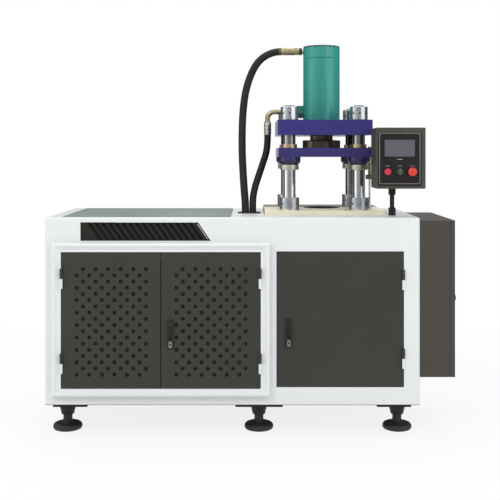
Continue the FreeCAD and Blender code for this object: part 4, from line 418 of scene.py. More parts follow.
def darken_where(material, spans, colour, share, dull):
    """Mix a darker colour in where all the spans meet. A plain one is painted shade; a dull one is real
    blackening and also takes the shine off.
    """
    tree = material.node_tree
    shader = tree.nodes["Principled BSDF"]
    mask = between(tree, *spans[0])
    for span in spans[1:]:
        mask = joined(tree, "MULTIPLY", mask, between(tree, *span))
    cover = joined(tree, "MULTIPLY", mask, share)
    if dull:
        bare = joined(tree, "SUBTRACT", 1.0, cover)
        feed(tree, shader, {label: joined(tree, "MULTIPLY", bare, shader.inputs[label].default_value)
                            for label in ("Metallic", "Specular IOR Level")})
    below = shader.inputs["Base Color"].links[0].from_socket
    mix = add(tree, "Mix", {0: cover, 6: below, 7: (*colour, 1.0)}, data_type="RGBA")
    feed(tree, shader, {"Base Color": mix.outputs[2]})


for details in PAINTED_SHADES:
    darken_where(*details, dull=False)
for details in DULL_BLACKENING_AND_SHADE:
    darken_where(*details, dull=True)
print(len(PAINTED_SHADES + DULL_BLACKENING_AND_SHADE), "shade and blackening spans laid")

# %% [markdown]
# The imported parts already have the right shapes, so most of them stay and only get their finish. Each
# one's own material slot is swapped for the finish made above.

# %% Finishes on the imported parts
FINISHES = {
    white_coat: ["top_cover", "front_fascia", "side_panels", "rear_covers", "door_surround",
                 "hinge_pintles"],
    door_coat: ["left_door", "middle_door", "right_door"],
    vent_coat: ["intake_grille"],
    box_coat: ["ebox_body", "ebox_door"],
    # The floor pan takes the dark frame paint so its edge makes a dark line along the cabinet's bottom:
    # painted shade.
    frame_coat: ["tube_frame", "floor_pan"],
    panel_coat: ["hmi_enclosure"],
    blue_gloss: ["crown_plate", "moving_platen"],
    green_gloss: ["cylinder_barrel", "cylinder_cap", "ejector_cylinder"],
    tank_coat: ["oil_tank"],
    motor_coat: ["drive_motor"],
    latch_coat: ["middle_latch_housing", "right_latch_housing"],
    lever_coat: ["middle_latch_lever", "right_latch_lever"],
    device_plastic: ["control_gear"],
    plate_black: ["hmi_faceplate"],
    screen_glass: ["hmi_screen"],
    red_push: ["start_button"],
    red_stop: ["stop_button"],
    knob_plastic: ["mode_selector"],
    foot_rubber: ["leveling_feet"],
    seal_rubber: ["hose_grommet"],
    mat_rubber: ["work_mat"],
    chrome: ["columns"],
    silver_trim: ["retainer_rings"],
    lock_steel: ["middle_lock_barrel", "right_lock_barrel"],
    bright_steel: ["ejector_rod", "motor_shaft", "stroke_rod"],
    machined_steel: ["base_collars", "column_nuts", "gear_pump", "valve_manifold"],
    ground_steel: ["bolster_plate"],
    oiled_steel: ["piston_rod", "rod_flange"],
    zinc: ["riser_pipes", "stroke_tube"],
    black_steel: ["foot_brackets", "cylinder_screws", "hmi_post", "ebox_lock"],
    bronze: ["rod_gland", "guide_bushes"],
}


def dress(node_name, material):
    mesh = nodes[node_name].data
    mesh.materials.clear()
    mesh.materials.append(material)


for material, names in FINISHES.items():
    for node_name in names:
        dress(node_name, material)
print("dressed", sum(len(names) for names in FINISHES.values()), "parts")

# %% [markdown]
# Many small pieces are turned on a lathe, cut from plate or bent from tube. A few helpers draw those
# shapes into one mesh, and the last one settles it: doubles merged, faces outward, round faces smooth,
# the body it moves with named, and the imported parts it stands for hidden.

# %% Helpers for small pieces
ORIGIN = (0.0, 0.0, 0.0)
UP = (0.0, 0.0, 1.0)
DOWN = (0.0, 0.0, -1.0)
LEFT = (-1.0, 0.0, 0.0)
RIGHT = (1.0, 0.0, 0.0)
FORWARD = (0.0, -1.0, 0.0)
AWAY = (0.0, 1.0, 0.0)


def once(items):
    """The items in their order, each only once."""
    return list(dict.fromkeys(items))


def turned(bm, profile, base=ORIGIN, axis=UP, steps=28, finish=0, hollow=False):
    """Turned form from (radius, height) pairs; six steps give a hexagon.

    Its ends are closed on the axis. If it is hollow, the profile runs back to its own start.
    """
    if not hollow:
        ends = [[(0.0, height)] if radius else [] for radius, height in (profile[0], profile[-1])]
        profile = ends[0] + profile + ends[1]
    turn = Vector(axis).to_track_quat("Z", "Y").to_matrix()
    rings = []
    for radius, height in profile:
        angles = [2 * math.pi * step / steps for step in range(steps if radius > 0.0 else 1)]
        spots = [turn @ Vector((radius * math.cos(a), radius * math.sin(a), height)) for a in angles]
        rings.append([bm.verts.new(Vector(base) + spot) for spot in spots])
    if hollow:
        rings.append(rings[0])
    for low, high in zip(rings, rings[1:]):
        for step in range(steps):
            ahead = (step + 1) % steps
            corners = [level[number % len(level)] for level, number in
                       ((low, step), (low, ahead), (high, ahead), (high, step))]
            bm.faces.new(once(corners)).material_index = finish


def slab(bm, low, high, bevel=0.0, finish=0, turn=None):
    """Block between two corners, its edges rounded and, if wanted, turned about its middle."""
    made = bmesh.ops.create_cube(bm, size=1.0)["verts"]
    middle = (Vector(low) + Vector(high)) / 2
    bmesh.ops.scale(bm, vec=Vector(high) - Vector(low), verts=made)
    edges = once(edge for vert in made for edge in vert.link_edges)
    for face in once(face for vert in made for face in vert.link_faces):
        face.material_index = finish
    if bevel:
        made = bmesh.ops.bevel(bm, geom=edges, offset=bevel, segments=2, profile=0.5, affect="EDGES")["verts"]
        made = once(vert for start in made for face in start.link_faces for vert in face.verts)
    if turn is not None:
        bmesh.ops.rotate(bm, cent=ORIGIN, matrix=turn, verts=made)
    bmesh.ops.translate(bm, vec=middle, verts=made)


def prism(bm, outline, rise):
    """Straight bar between a loop of points and its copy moved by rise."""
    low = [bm.verts.new(point) for point in outline]
    high = [bm.verts.new(vert.co + Vector(rise)) for vert in low]
    for step in range(len(low)):
        ahead = (step + 1) % len(low)
        bm.faces.new([low[step], low[ahead], high[ahead], high[step]])
    bm.faces.new(low)
    bm.faces.new(high)


def piped(bm, points, radius, steps=8, finish=0, closed=False):
    """Round bar along points that lie in a plane facing the front."""
    count = len(points)
    rings = []
    for number, point in enumerate(points):
        before = points[number - 1] if closed or number else point
        after = points[(number + 1) % count] if closed or number < count - 1 else point
        along = (Vector(after) - Vector(before)).normalized()
        side = along.cross(Vector(AWAY)).normalized()
        rise = side.cross(along)
        rings.append([bm.verts.new(Vector(point) + radius * (math.cos(a) * side + math.sin(a) * rise))
                      for a in (2 * math.pi * step / steps for step in range(steps))])
    pairs = list(zip(rings, rings[1:])) + ([(rings[-1], rings[0])] if closed else [])
    for low, high in pairs:
        for step in range(steps):
            ahead = (step + 1) % steps
            bm.faces.new([low[step], low[ahead], high[ahead], high[step]]).material_index = finish
    if not closed:
        for end in (rings[0], rings[-1]):
            bm.faces.new(end).material_index = finish


def oblong(middle, width, height, corner, steps=5):
    """Points round a front-facing rectangle with round corners."""
    points = []
    for number, (side, rise) in enumerate(((1, 1), (-1, 1), (-1, -1), (1, -1))):
        for step in range(steps + 1):
            turn = math.pi / 2 * (number + step / steps)
            points.append(Vector(middle) + Vector((side * (width / 2 - corner) + corner * math.cos(turn), 0.0,
                                                   rise * (height / 2 - corner) + corner * math.sin(turn))))
    return points


def face_plate(bm, outer, inner, thick, finish=0):
    """Flat plate with a window, from two loops of points; its front is at the points."""
    back = Vector((0.0, thick, 0.0))
    loops = [[bm.verts.new(point + shift) for point in loop]
             for loop, shift in ((outer, back * 0), (inner, back * 0), (inner, back), (outer, back))]
    for first, second in zip(loops, loops[1:] + loops[:1]):
        for step in range(len(outer)):
            ahead = (step + 1) % len(outer)
            bm.faces.new([first[step], first[ahead], second[ahead], second[step]]).material_index = finish


def alone(shape, *details):
    """One of the shapes above in a mesh of its own."""
    bm = bmesh.new()
    shape(bm, *details)
    return bm


def loose_mesh(name, bm, finishes=()):
    """Mesh data from a mesh in the making."""
    mesh = bpy.data.meshes.new(name)
    bm.to_mesh(mesh)
    bm.free()
    for finish in finishes:
        mesh.materials.append(finish)
    return mesh


def settle(name, bm, finishes, body, stands_for=()):
    """Finished piece from a mesh in the making."""
    bmesh.ops.remove_doubles(bm, verts=bm.verts, dist=1e-6)
    bmesh.ops.recalc_face_normals(bm, faces=bm.faces)
    mesh = loose_mesh(name, bm, finishes)
    mesh.shade_smooth()
    mesh.set_sharp_from_angle(angle=math.radians(35))
    obj = link_new(name, mesh)
    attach(obj, body)
    if stands_for:
        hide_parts(*stands_for)
    print(name, "has", len(mesh.polygons), "faces")


# %% [markdown]
# Screws, fins, slats and terminals repeat. Instead of copying them by hand, a small Geometry Nodes tree
# puts one part on a grid of points: one line of points is set on each point of another line.

# %% Geometry nodes: a grid of parts
def new_tree(name, inputs):
    tree = bpy.data.node_groups.new(name, "GeometryNodeTree")
    tree.interface.new_socket("Geometry", in_out="INPUT", socket_type="NodeSocketGeometry")
    for label, kind in inputs:
        tree.interface.new_socket(label, in_out="INPUT", socket_type="NodeSocket" + kind)
    tree.interface.new_socket("Geometry", in_out="OUTPUT", socket_type="NodeSocketGeometry")
    return tree, tree.nodes.new("NodeGroupInput"), tree.nodes.new("NodeGroupOutput")


def wire(tree, *pairs):
    for start, end in pairs:
        tree.links.new(start, end)


def single_part(tree, given):
    """The part to repeat, read from the object in the tree's input."""
    source = tree.nodes.new("GeometryNodeObjectInfo")
    wire(tree, (given.outputs["Part"], source.inputs["Object"]))
    return source.outputs["Geometry"]


def end_tree(tree, given, out, geometry):
    """Every tree ends in real faces with a finish."""
    real = tree.nodes.new("GeometryNodeRealizeInstances")
    coated = tree.nodes.new("GeometryNodeSetMaterial")
    wire(tree, (geometry, real.inputs[0]), (real.outputs[0], coated.inputs["Geometry"]),
         (given.outputs["Finish"], coated.inputs["Material"]), (coated.outputs[0], out.inputs[0]))


def make_grid_tree():
    tree, given, out = new_tree("grid of parts", [
        ("Part", "Object"), ("Finish", "Material"), ("Start", "Vector"), ("Count", "Int"), ("Step", "Vector"),
        ("Rows", "Int"), ("Row step", "Vector")])
    lines = []
    for count, step in (("Count", "Step"), ("Rows", "Row step")):
        line = tree.nodes.new("GeometryNodeMeshLine")
        line.mode = "OFFSET"
        wire(tree, (given.outputs[count], line.inputs["Count"]), (given.outputs[step], line.inputs["Offset"]))
        lines.append(line)
    wire(tree, (given.outputs["Start"], lines[1].inputs["Start Location"]))
    spread = tree.nodes.new("GeometryNodeInstanceOnPoints")
    real = tree.nodes.new("GeometryNodeRealizeInstances")
    place = tree.nodes.new("GeometryNodeInstanceOnPoints")
    wire(tree, (lines[1].outputs[0], spread.inputs["Points"]),
         (lines[0].outputs[0], spread.inputs["Instance"]), (spread.outputs[0], real.inputs[0]),
         (real.outputs[0], place.inputs["Points"]), (single_part(tree, given), place.inputs["Instance"]))
    end_tree(tree, given, out, place.outputs[0])
    return tree


grid_of_parts = make_grid_tree()
print("tree with", len(grid_of_parts.nodes), "nodes")

# %% [markdown]
# The second tree sets parts round a circle, each turned so that its own X points outward. The whole ring
# is then turned and moved to its place. Bolts on a flange and a motor's cooling fins are made with it.

# %% Geometry nodes: a ring of parts
def make_ring_tree():
    tree, given, out = new_tree("ring of parts", [
        ("Part", "Object"), ("Finish", "Material"), ("Count", "Int"), ("Radius", "Float"), ("Turn", "Vector"),
        ("Centre", "Vector")])
    circle = tree.nodes.new("GeometryNodeMeshCircle")
    where = tree.nodes.new("GeometryNodeInputPosition")
    facing = tree.nodes.new("FunctionNodeAlignRotationToVector")
    facing.axis = "X"
    place = tree.nodes.new("GeometryNodeInstanceOnPoints")
    move = tree.nodes.new("GeometryNodeTransform")
    wire(tree, (given.outputs["Count"], circle.inputs["Vertices"]),
         (given.outputs["Radius"], circle.inputs["Radius"]), (where.outputs[0], facing.inputs["Vector"]),
         (circle.outputs[0], place.inputs["Points"]), (facing.outputs[0], place.inputs["Rotation"]),
         (single_part(tree, given), place.inputs["Instance"]), (place.outputs[0], move.inputs["Geometry"]),
         (given.outputs["Centre"], move.inputs["Translation"]),
         (given.outputs["Turn"], move.inputs["Rotation"]))
    end_tree(tree, given, out, move.outputs[0])
    return tree


ring_of_parts = make_ring_tree()
print("tree with", len(ring_of_parts.nodes), "nodes")

# %% [markdown]
# A tree runs on a carrier with nothing in it. Its inputs are set by their identifiers before it is first
# worked out, then the result becomes a plain mesh and the carrier goes. Meshes for one body are gathered
# into one piece.

# %% Running a tree
def repeat(tree, bm, finish, **sizes):
    """Plain mesh of one small part repeated by a tree."""
    bmesh.ops.recalc_face_normals(bm, faces=bm.faces)
    single = link_new("single", loose_mesh("single", bm))
    carrier = link_new("carrier", bpy.data.meshes.new("carrier"))
    modifier = carrier.modifiers.new("repeat", "NODES")
    modifier.node_group = tree
    sockets = {item.name.replace(" ", "_"): item.identifier for item in tree.interface.items_tree
               if item.item_type == "SOCKET" and item.in_out == "INPUT"}
    for label, value in {"Part": single, "Finish": finish, **sizes}.items():
        modifier[sockets[label]] = value
    depsgraph = bpy.context.evaluated_depsgraph_get()
    result = bpy.data.meshes.new_from_object(carrier.evaluated_get(depsgraph))
    carrier.modifiers.remove(modifier)
    bpy.data.objects.remove(carrier)
    bpy.data.objects.remove(single)
    return result


def grid(bm, finish, start, count, step, rows=1, row_step=ORIGIN):
    """Part set along a line from start, in one or more rows."""
    return repeat(grid_of_parts, bm, finish, Start=start, Count=count, Step=step, Rows=rows,
                  Row_step=row_step)


def ring(bm, finish, count, radius, turn, centre):
    """Part set round a circle that is then turned and moved."""
    return repeat(ring_of_parts, bm, finish, Count=count, Radius=radius, Turn=turn, Centre=centre)


def gather(name, meshes, body):
    """One piece from several plain meshes, each keeping its finish."""
    bm = bmesh.new()
    finishes = []
    for mesh in meshes:
        start = len(bm.faces)
        bm.from_mesh(mesh)
        bm.faces.ensure_lookup_table()
        finishes += [finish for finish in mesh.materials if finish not in finishes]
        for face in bm.faces[start:]:
            face.material_index = finishes.index(mesh.materials[face.material_index])
    settle(name, bm, finishes, body)


def socket_screw(radius, head, axis):
    """Small cap screw with a sunk key hole, its head along an axis from the origin."""
    profile = [(radius, -0.001), (radius, head * 0.8), (radius * 0.9, head), (radius * 0.5, head),
               (radius * 0.5, head * 0.4)]
    return alone(turned, profile, ORIGIN, axis, 12)


# %% [markdown]
# The press stands on four chromed columns. Black set screws lock each top nut and each base collar, and a
# black ring seats the die in the bed. A dark liner on the pocket's wall is painted shade, standing in for
# the shadow inside the pocket. Two plugs close spare ports low on the barrel's front.

# %% Press: set screws, die pocket and port plugs
PRESS_X, PRESS_Y = 0.3, 0.0735
HALF_SPAN = 0.1425
BARREL_RADIUS = 0.0775
COLUMNS = [(PRESS_X + across, PRESS_Y + along) for across in (-HALF_SPAN, HALF_SPAN)
           for along in (-HALF_SPAN, HALF_SPAN)]
SCREW_RINGS = [(8, 0.0357, 1.2575), (4, 0.0397, 0.888)]
locking = [ring(socket_screw(0.0036, 0.0009, RIGHT), black_steel, count, radius, (0.0, 0.0, math.pi / 4),
                (x, y, height)) for x, y in COLUMNS for count, radius, height in SCREW_RINGS]
gather("set_screws", locking, "machine")

bm = bmesh.new()
# The first profile is the dark liner on the pocket's wall, painted shade; the second is the black seating
# ring.
for profile in ([(0.0698, 0.8334), (0.0698, 0.8626), (0.0688, 0.8626), (0.0688, 0.8334)],
                [(0.0702, 0.8631), (0.0784, 0.8631), (0.0784, 0.8638), (0.0779, 0.8642), (0.0702, 0.8642)]):
    turned(bm, profile, (PRESS_X, PRESS_Y, 0.0), steps=64, hollow=True)
settle("die_seat", bm, [seal_rubber], "machine")

bm = bmesh.new()
for offset in (-0.0428, 0.0358):
    outward = Vector((offset, -math.sqrt(BARREL_RADIUS ** 2 - offset ** 2), 0.0)).normalized()
    turned(bm, [(0.0052, -0.002), (0.0052, 0.0006), (0.0044, 0.0012), (0.0026, 0.0012), (0.0026, 0.0)],
           Vector((PRESS_X, PRESS_Y, 1.2513)) + outward * BARREL_RADIUS, outward, 12)
settle("port_plugs", bm, [green_gloss], "machine")

# %% [markdown]
# A hose end is several parts in a row: a spigot in the port, a lock ring, a hexagon nut, and a ferrule
# crimped over the rubber with grooves pressed into it. Each is turned on the hose's own axis. The lower
# one has a bent steel pipe between the port and its ferrule.

# %% Press: hose ends
HIGH_Z = 1.527
LOW_Z = 1.27
PIPE_X = 0.0705
BEND = 0.028
FERRULE = [(0.0146, 0.0), (0.0156, 0.002), (0.0156, 0.012), (0.0152, 0.014), (0.0152, 0.017), (0.0156, 0.019),
           (0.0156, 0.03), (0.0152, 0.032), (0.0152, 0.035), (0.0156, 0.037), (0.0156, 0.048), (0.014, 0.051)]


def ferrule_profile(length):
    return [(radius, height * length / FERRULE[-1][1]) for radius, height in FERRULE]


bm = bmesh.new()
for x, steps, finish, profile in (
        (0.2345, 24, 2, [(0.0105, 0.0), (0.0105, 0.019)]),
        (0.2169, 6, 1, [(0.015, 0.0), (0.0162, 0.001), (0.0162, 0.0118), (0.015, 0.0128)]),
        (0.2041, 24, 0, [(0.014, 0.0), (0.014, 0.008)]),
        (0.1965, 6, 0, [(0.016, 0.0), (0.017, 0.001), (0.017, 0.011), (0.016, 0.0124)]),
        (0.1841, 32, 0, ferrule_profile(0.0552)),
        (0.1289, 32, 3, [(0.0158, 0.0), (0.0162, 0.001), (0.0162, 0.008), (0.0156, 0.0092)])):
    turned(bm, profile, (x, PRESS_Y, HIGH_Z), LEFT, steps, finish)

turned(bm, [(0.0075, 0.0), (0.0075, 0.012)], (0.205, PRESS_Y, LOW_Z), LEFT, 20, 2)
turned(bm, [(0.0143, 0.0), (0.0155, 0.001), (0.0155, 0.0175), (0.0143, 0.019)], (0.1948, PRESS_Y, LOW_Z),
       LEFT, 6)
quarter = [math.pi / 2 * step / 10 for step in range(11)]
path = [Vector((0.185, PRESS_Y, LOW_Z))]
path += [Vector((PIPE_X + BEND * (1 - math.sin(a)), PRESS_Y, LOW_Z - BEND * (1 - math.cos(a))))
         for a in quarter]
path.append(Vector((PIPE_X, PRESS_Y, 1.226)))
piped(bm, path, 0.0103, 20)
turned(bm, [(0.0122, 0.0), (0.0132, 0.001), (0.0132, 0.009), (0.0122, 0.01)], (PIPE_X, PRESS_Y, 1.2312),
       DOWN, 6, 2)
turned(bm, ferrule_profile(0.05), (PIPE_X, PRESS_Y, 1.2222), DOWN, 32, 2)
settle("hose_ends", bm, [zinc, seal_rubber, silver_trim, oiled_steel], "machine", ("port_fittings",))

# %% [markdown]
# The operator's panel is a cast box with a black faceplate let into its front. A thin silver line runs
# round the plate, the screen sits in a raised bezel, and each control has a bare label slip above it.
# The lines are round bars bent along a rounded rectangle, and the bezels are plates with a window.

# %% Control panel
PANEL_X = 0.5775
PLATE_Y = -0.2695
BUTTON_Z = 1.022
BUTTON_STEP = 0.047
bm = bmesh.new()
for height, width, rise, radius, finish in ((1.0735, 0.157, 0.196, 0.0012, 0),
                                            (1.07, 0.169, 0.207, 0.0008, 2)):
    piped(bm, oblong((PANEL_X, PLATE_Y - 0.0002, height), width, rise, 0.006), radius, 8, finish, True)
screen = (PANEL_X, PLATE_Y - 0.0022, 1.114)
face_plate(bm, oblong(screen, 0.127, 0.075, 0.004), oblong(screen, 0.1185, 0.0665, 0.001), 0.0022, 2)
slab(bm, (0.567, PLATE_Y - 0.0012, 1.0693), (0.5882, PLATE_Y + 0.0002, 1.0717), 0.0005, 3)
for side, hole, radius in ((-1, 0.0134, 0.015), (0, 0.0127, 0.0142), (1, 0.0118, 0.0142)):
    x = PANEL_X + side * BUTTON_STEP
    turned(bm, [(hole, 0.0), (radius, 0.0), (radius, 0.0016), (radius - 0.0008, 0.0024), (hole, 0.0024)],
           (x, PLATE_Y, BUTTON_Z), FORWARD, 36, 1, True)
    slab(bm, (x - 0.0085, PLATE_Y - 0.0008, BUTTON_Z + 0.0195),
         (x + 0.0085, PLATE_Y + 0.0002, BUTTON_Z + 0.0255), 0.0003, 4)
TRIM_FINISHES = [dull_trim, black_steel, plate_black, lamp_pale, label_grey]
settle("panel_trim", bm, TRIM_FINISHES, "panel")

screws = grid(socket_screw(0.003, 0.001, FORWARD), black_steel, (0.4965, PLATE_Y, 0.9705), 2,
              (0.162, 0.0, 0.0), 2, (0.0, 0.0, 0.199))
gather("panel_screws", [screws], "panel")

# %% [markdown]
# The latches are black plates with a swing lever and a key lock under it. The lock sits in a small
# plated oblong. A loop of points inside another makes its face, and a thin bar rounds its edge.

# %% Lock bezels
LOCK_Z = 0.36
for body, x, front in (("middle_leaf", -0.3102, -0.3165), ("right_leaf", 0.1455, -0.2895)):
    bm = bmesh.new()
    face = (x, front - 0.0008, LOCK_Z)
    face_plate(bm, oblong(face, 0.0122, 0.024, 0.006), oblong(face, 0.0094, 0.0094, 0.0046), 0.0008)
    piped(bm, oblong((x, front - 0.0006, LOCK_Z), 0.0122, 0.024, 0.006), 0.0008, 6, 0, True)
    settle(body + "_lock_bezel", bm, [dull_trim], body)

# %% [markdown]
# The holes in the two left doors all look equally dark, as they do with a dust filter behind them. Each
# leaf gets a pleated black filter mat inside its pan. One pleat is drawn and the grid tree sets the row.

# %% Dust filters in the doors
PLEAT = [(0.0, 0.0012), (0.0061, -0.0026), (0.0122, 0.0012), (0.0122, 0.0024), (0.0061, -0.0008),
         (0.0, 0.0024)]
for body, left in (("left_leaf", -0.69), ("middle_leaf", -0.305)):
    pleat = alone(prism, [(x, y, 0.224) for x, y in PLEAT], (0.0, 0.0, 0.442))
    pleats = grid(pleat, seal_rubber, (left, -0.301, 0.0), 25, (0.0122, 0.0, 0.0))
    gather(body + "_filter", [pleats], body)

# %% [markdown]
# Behind the intake's slanted slots stand dark slanted blades, so air gets in and dust doesn't; they close off
# the view inside, and their dark paint stands in for the shade behind the slots. One blade is drawn, turned
# on its long axis, and the grid tree sets it along the vent. A pale bar along the vent's slanted end is a
# painted highlight on that edge, and a thin oily steel one trims the left part of its top.

# %% Intake blades, trim and painted highlight
slope = Vector((-0.048, 0.0, 0.067))
across = Matrix.Rotation(math.radians(24), 4, slope) @ Vector((0.03, 0.0, 0.0))
thick = slope.cross(across).normalized() * 0.0014
blade = alone(prism, [thick * 0, across, across + thick, thick], slope)
depth = min(vert.co.y for vert in blade.verts)
# The blades in the vent's dark paint are painted shade for the inside behind the slots.
blades = grid(blade, vent_coat, (-0.648, -0.2725 - depth, 0.7575), 19, (0.026, 0.0, 0.0))
gather("intake_blades", [blades], "machine")

VENT_Y = -0.2817
top_left, top_right, low_right, low_left = [
    Vector((x, VENT_Y, z)) for x, z in ((-0.66, 0.826), (-0.205, 0.826), (-0.157, 0.756), (-0.66, 0.756))]
inward = Vector((-0.0072, 0.0, 0.0))
short = Vector((0.004, 0.0, -0.006))
bm = bmesh.new()
# The first bar, in pale paint, is a painted highlight along the vent's slanted end; the others are trim.
for start, end, radius, finish in ((top_right + inward + short, low_right + inward - short, 0.0013, 0),
                                   (top_left, top_left.lerp(top_right, 0.3), 0.0008, 1),
                                   (low_left, top_left, 0.0008, 2), (low_right, low_left, 0.0008, 2)):
    piped(bm, [start, start + (end - start) / 2, end], radius, 8, finish)
settle("intake_trim", bm, [lamp_pale, oiled_steel, vent_coat], "machine")

# %% [markdown]
# The rear covers have rows of louvre slots. A slanted blade slopes inward behind each one. The grid tree
# makes them, and also the pan-head screws that hold the covers to the frame.

# %% Rear louvres and cover screws
LOUVRE_TURN = Matrix.Rotation(math.radians(-48), 3, "X")
PAN_HEAD = [(0.0048, -0.0005), (0.0048, 0.0005), (0.004, 0.0014), (0.0018, 0.0017), (0.0, 0.001)]
louvres = []
screws = []
for middle, low_x, high_x in ((-0.36025, -0.762, 0.042), (0.35525, 0.094, 0.617)):
    blade = alone(slab, (-0.0765, -0.02, 0.0089), (0.0765, 0.003, 0.0101), 0.0, 0, LOUVRE_TURN)
    louvres.append(grid(blade, white_coat, (middle - 0.085, 0.3145, 0.503), 2, (0.17, 0.0, 0.0), 10,
                        (0.0, 0.0, 0.03)))
    screws.append(grid(alone(turned, PAN_HEAD, ORIGIN, AWAY, 12), bright_steel, (low_x, 0.3166, 0.14), 4,
                       ((high_x - low_x) / 3, 0.0, 0.0), 3, (0.0, 0.0, 0.337)))
gather("rear_louvres", louvres, "machine")
gather("rear_cover_screws", screws, "machine")

# %% [markdown]
# Behind the left doors an electric motor drives the pump on the oil tank's lid. Its shell has cooling
# fins, and the fan cowl has slots in its end. Both are one part set round a ring and turned to the
# motor's axis.

# %% Motor fins and cowl slots
MOTOR_Y = -0.0515
MOTOR_Z = 0.569
ALONG_X = (0.0, math.pi / 2, 0.0)
fins = ring(alone(slab, (-0.003, -0.0014, -0.112), (0.0075, 0.0014, 0.112), 0.0008), motor_coat, 36, 0.09,
            ALONG_X, (-0.491, MOTOR_Y, MOTOR_Z))
slots = ring(alone(slab, (-0.019, -0.0022, -0.0006), (0.019, 0.0022, 0.0006), 0.0004), vent_coat, 20, 0.06,
             ALONG_X, (-0.6602, MOTOR_Y, MOTOR_Z))
gather("motor_fins", [fins, slots], "machine")

# %% [markdown]
# The pump's flange and the bell housing are bolted on with rings of hexagon bolts. The terminal box gets
# a lid with four screws, a cable gland and a bare name plate.

# %% Pump bolts and terminal box
def hex_bolt(radius, head):
    profile = [(radius, -0.001), (radius, head * 0.85), (radius * 0.88, head)]
    return alone(turned, profile, ORIGIN, UP, 6)


bolts = [ring(hex_bolt(0.0062, 0.0055), zinc, count, radius, ALONG_X, (x, MOTOR_Y, MOTOR_Z))
         for count, radius, x in ((8, 0.086, -0.353), (6, 0.056, -0.269))]
gather("pump_bolts", bolts, "machine")

bm = bmesh.new()
slab(bm, (-0.547, -0.0935, 0.6935), (-0.433, -0.0095, 0.701), 0.0025)
for x in (-0.54, -0.44):
    for y in (-0.0865, -0.0165):
        turned(bm, [(0.004, 0.0), (0.004, 0.0015), (0.0028, 0.0026), (0.0, 0.002)], (x, y, 0.7008), UP, 12, 1)
turned(bm, [(0.0125, 0.0), (0.0125, 0.006), (0.0105, 0.007), (0.0105, 0.014), (0.0065, 0.02)],
       (-0.49, -0.0915, 0.677), FORWARD, 6, 2)
slab(bm, (-0.51, -0.012, 0.66), (-0.47, -0.0105, 0.685), 0.0004, 3)
settle("motor_box_lid", bm, [motor_coat, bright_steel, seal_rubber, label_grey], "machine")

# %% [markdown]
# The tank shows its oil level in a sight glass on its front: an amber glass between two brass ends on a
# pale scale plate. Screws hold the lid, a ribbed cap closes the filler, and a hexagon plug drains it.

# %% Tank fittings
TANK_FRONT = -0.1515
GAUGE = (-0.618, TANK_FRONT - 0.009)
oil_amber = paint("oil_amber", (176, 112, 34), 0.12, (80.0, 0.02, 0.0002), 0.1, 0.6)
bm = bmesh.new()
slab(bm, (-0.632, TANK_FRONT - 0.003, 0.27), (-0.604, TANK_FRONT + 0.0005, 0.41), 0.0008, 1)
turned(bm, [(0.006, 0.0), (0.006, 0.112)], (*GAUGE, 0.284), UP, 16)
for z in (0.274, 0.394):
    turned(bm, [(0.0085, 0.0), (0.0095, 0.001), (0.0095, 0.011), (0.0085, 0.012)], (*GAUGE, z), UP, 6, 2)
for number in range(5):
    z = 0.3 + 0.02 * number
    slab(bm, (-0.611, TANK_FRONT - 0.0034, z), (-0.606, TANK_FRONT - 0.0028, z + 0.001), 0.0, 3)
turned(bm, [(0.014, 0.0), (0.014, 0.008), (0.011, 0.009), (0.011, 0.02), (0.0095, 0.022)],
       (-0.02, TANK_FRONT, 0.2), FORWARD, 6, 2)
settle("oil_gauge", bm, [oil_amber, lamp_pale, brass_trim, seal_rubber], "machine")

lid_screws = grid(hex_bolt(0.006, 0.0042), zinc, (-0.684, -0.147, 0.467), 8, (0.1012, 0.0, 0.0), 2,
                  (0.0, 0.34, 0.0))
rib = alone(slab, (-0.001, -0.0018, -0.012), (0.0022, 0.0018, 0.012), 0.0008)
cap_ribs = ring(rib, seal_rubber, 24, 0.034, ORIGIN, (-0.63, 0.1385, 0.514))
gather("tank_screws", [lid_screws, cap_ribs], "machine")

# %% [markdown]
# Each valve on the manifold has a coil at both ends, closed by a ring nut, and a plug for its cable on
# its front. The plugs are small moulded blocks with a gland.

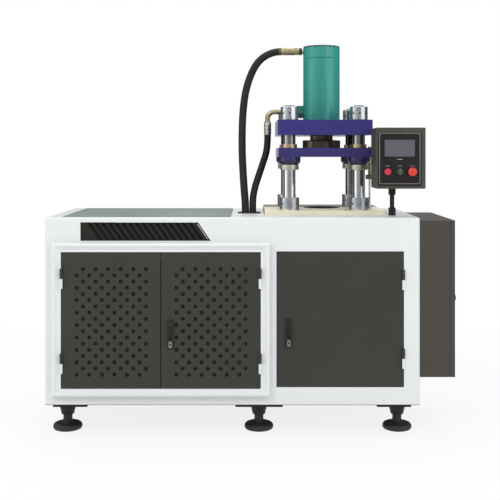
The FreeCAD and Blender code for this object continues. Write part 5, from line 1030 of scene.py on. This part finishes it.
# %% Valve plugs
VALVE_X = -0.008
bm = bmesh.new()
for rise in (0.491, 0.537):
    for side in (-1, 1):
        x = VALVE_X + side * 0.06
        slab(bm, (x - 0.013, -0.124, rise - 0.012), (x + 0.013, -0.104, rise + 0.012), 0.003)
        turned(bm, [(0.0072, 0.0), (0.0072, 0.004), (0.0055, 0.01)], (x, -0.124, rise - 0.004), FORWARD,
               12, 1)
        turned(bm, [(0.0125, 0.0), (0.0125, 0.003)], (VALVE_X + side * 0.084, -0.0875, rise),
               (float(side), 0.0, 0.0), 24, 2)
settle("valve_plugs", bm, [duct_plastic, seal_rubber, machined_steel], "machine")

# %% [markdown]
# In the side box, contactors, breakers and terminals stand in rows on rails, with slotted wire ducts
# between them. Terminal screws, breaker levers and duct slots all repeat, so the grid tree sets them. A
# rail's numbers are its height, its depth, how far its screws stand above and below it, the count and
# step of its screws, and the count and step of its levers.

# %% Control gear details
GEAR_Y = -0.1865
RAILS = [(0.333, 0.7345, 0.034, 12, 0.0205, 4, 0.062), (0.523, 0.7245, 0.037, 10, 0.0229, 5, 0.046),
         (0.683, 0.7085, 0.024, 14, 0.0139, 7, 0.028)]
terminals = [grid(socket_screw(0.0036, 0.001, RIGHT), brass_trim, (depth, GEAR_Y + 0.01, z - reach), screws,
                  (0.0, step, 0.0), 2, (0.0, 0.0, 2 * reach))
             for z, depth, reach, screws, step, _, _ in RAILS]
terminals += [grid(alone(slab, (-0.001, -0.007, -0.01), (0.006, 0.007, 0.01), 0.002), plate_black,
                   (depth, GEAR_Y + step / 2 - 0.001, z), levers, (0.0, step, 0.0))
              for z, depth, _, _, _, levers, step in RAILS]
gather("gear_terminals", terminals, "machine")

DUCTS = (0.428, 0.608)
bm = bmesh.new()
for z in DUCTS:
    slab(bm, (0.6597, -0.22, z - 0.018), (0.71, 0.17, z + 0.018), 0.0015)
duct = loose_mesh("duct", bm, [duct_plastic])
slots = [grid(alone(slab, (-0.02, -0.002, -0.0003), (0.02, 0.002, 0.0003)), plate_black,
              (0.685, -0.212, z - 0.0181), 38, (0.0, 0.0102, 0.0), 2, (0.0, 0.0, 0.0362)) for z in DUCTS]
gather("wire_ducts", [duct] + slots, "machine")
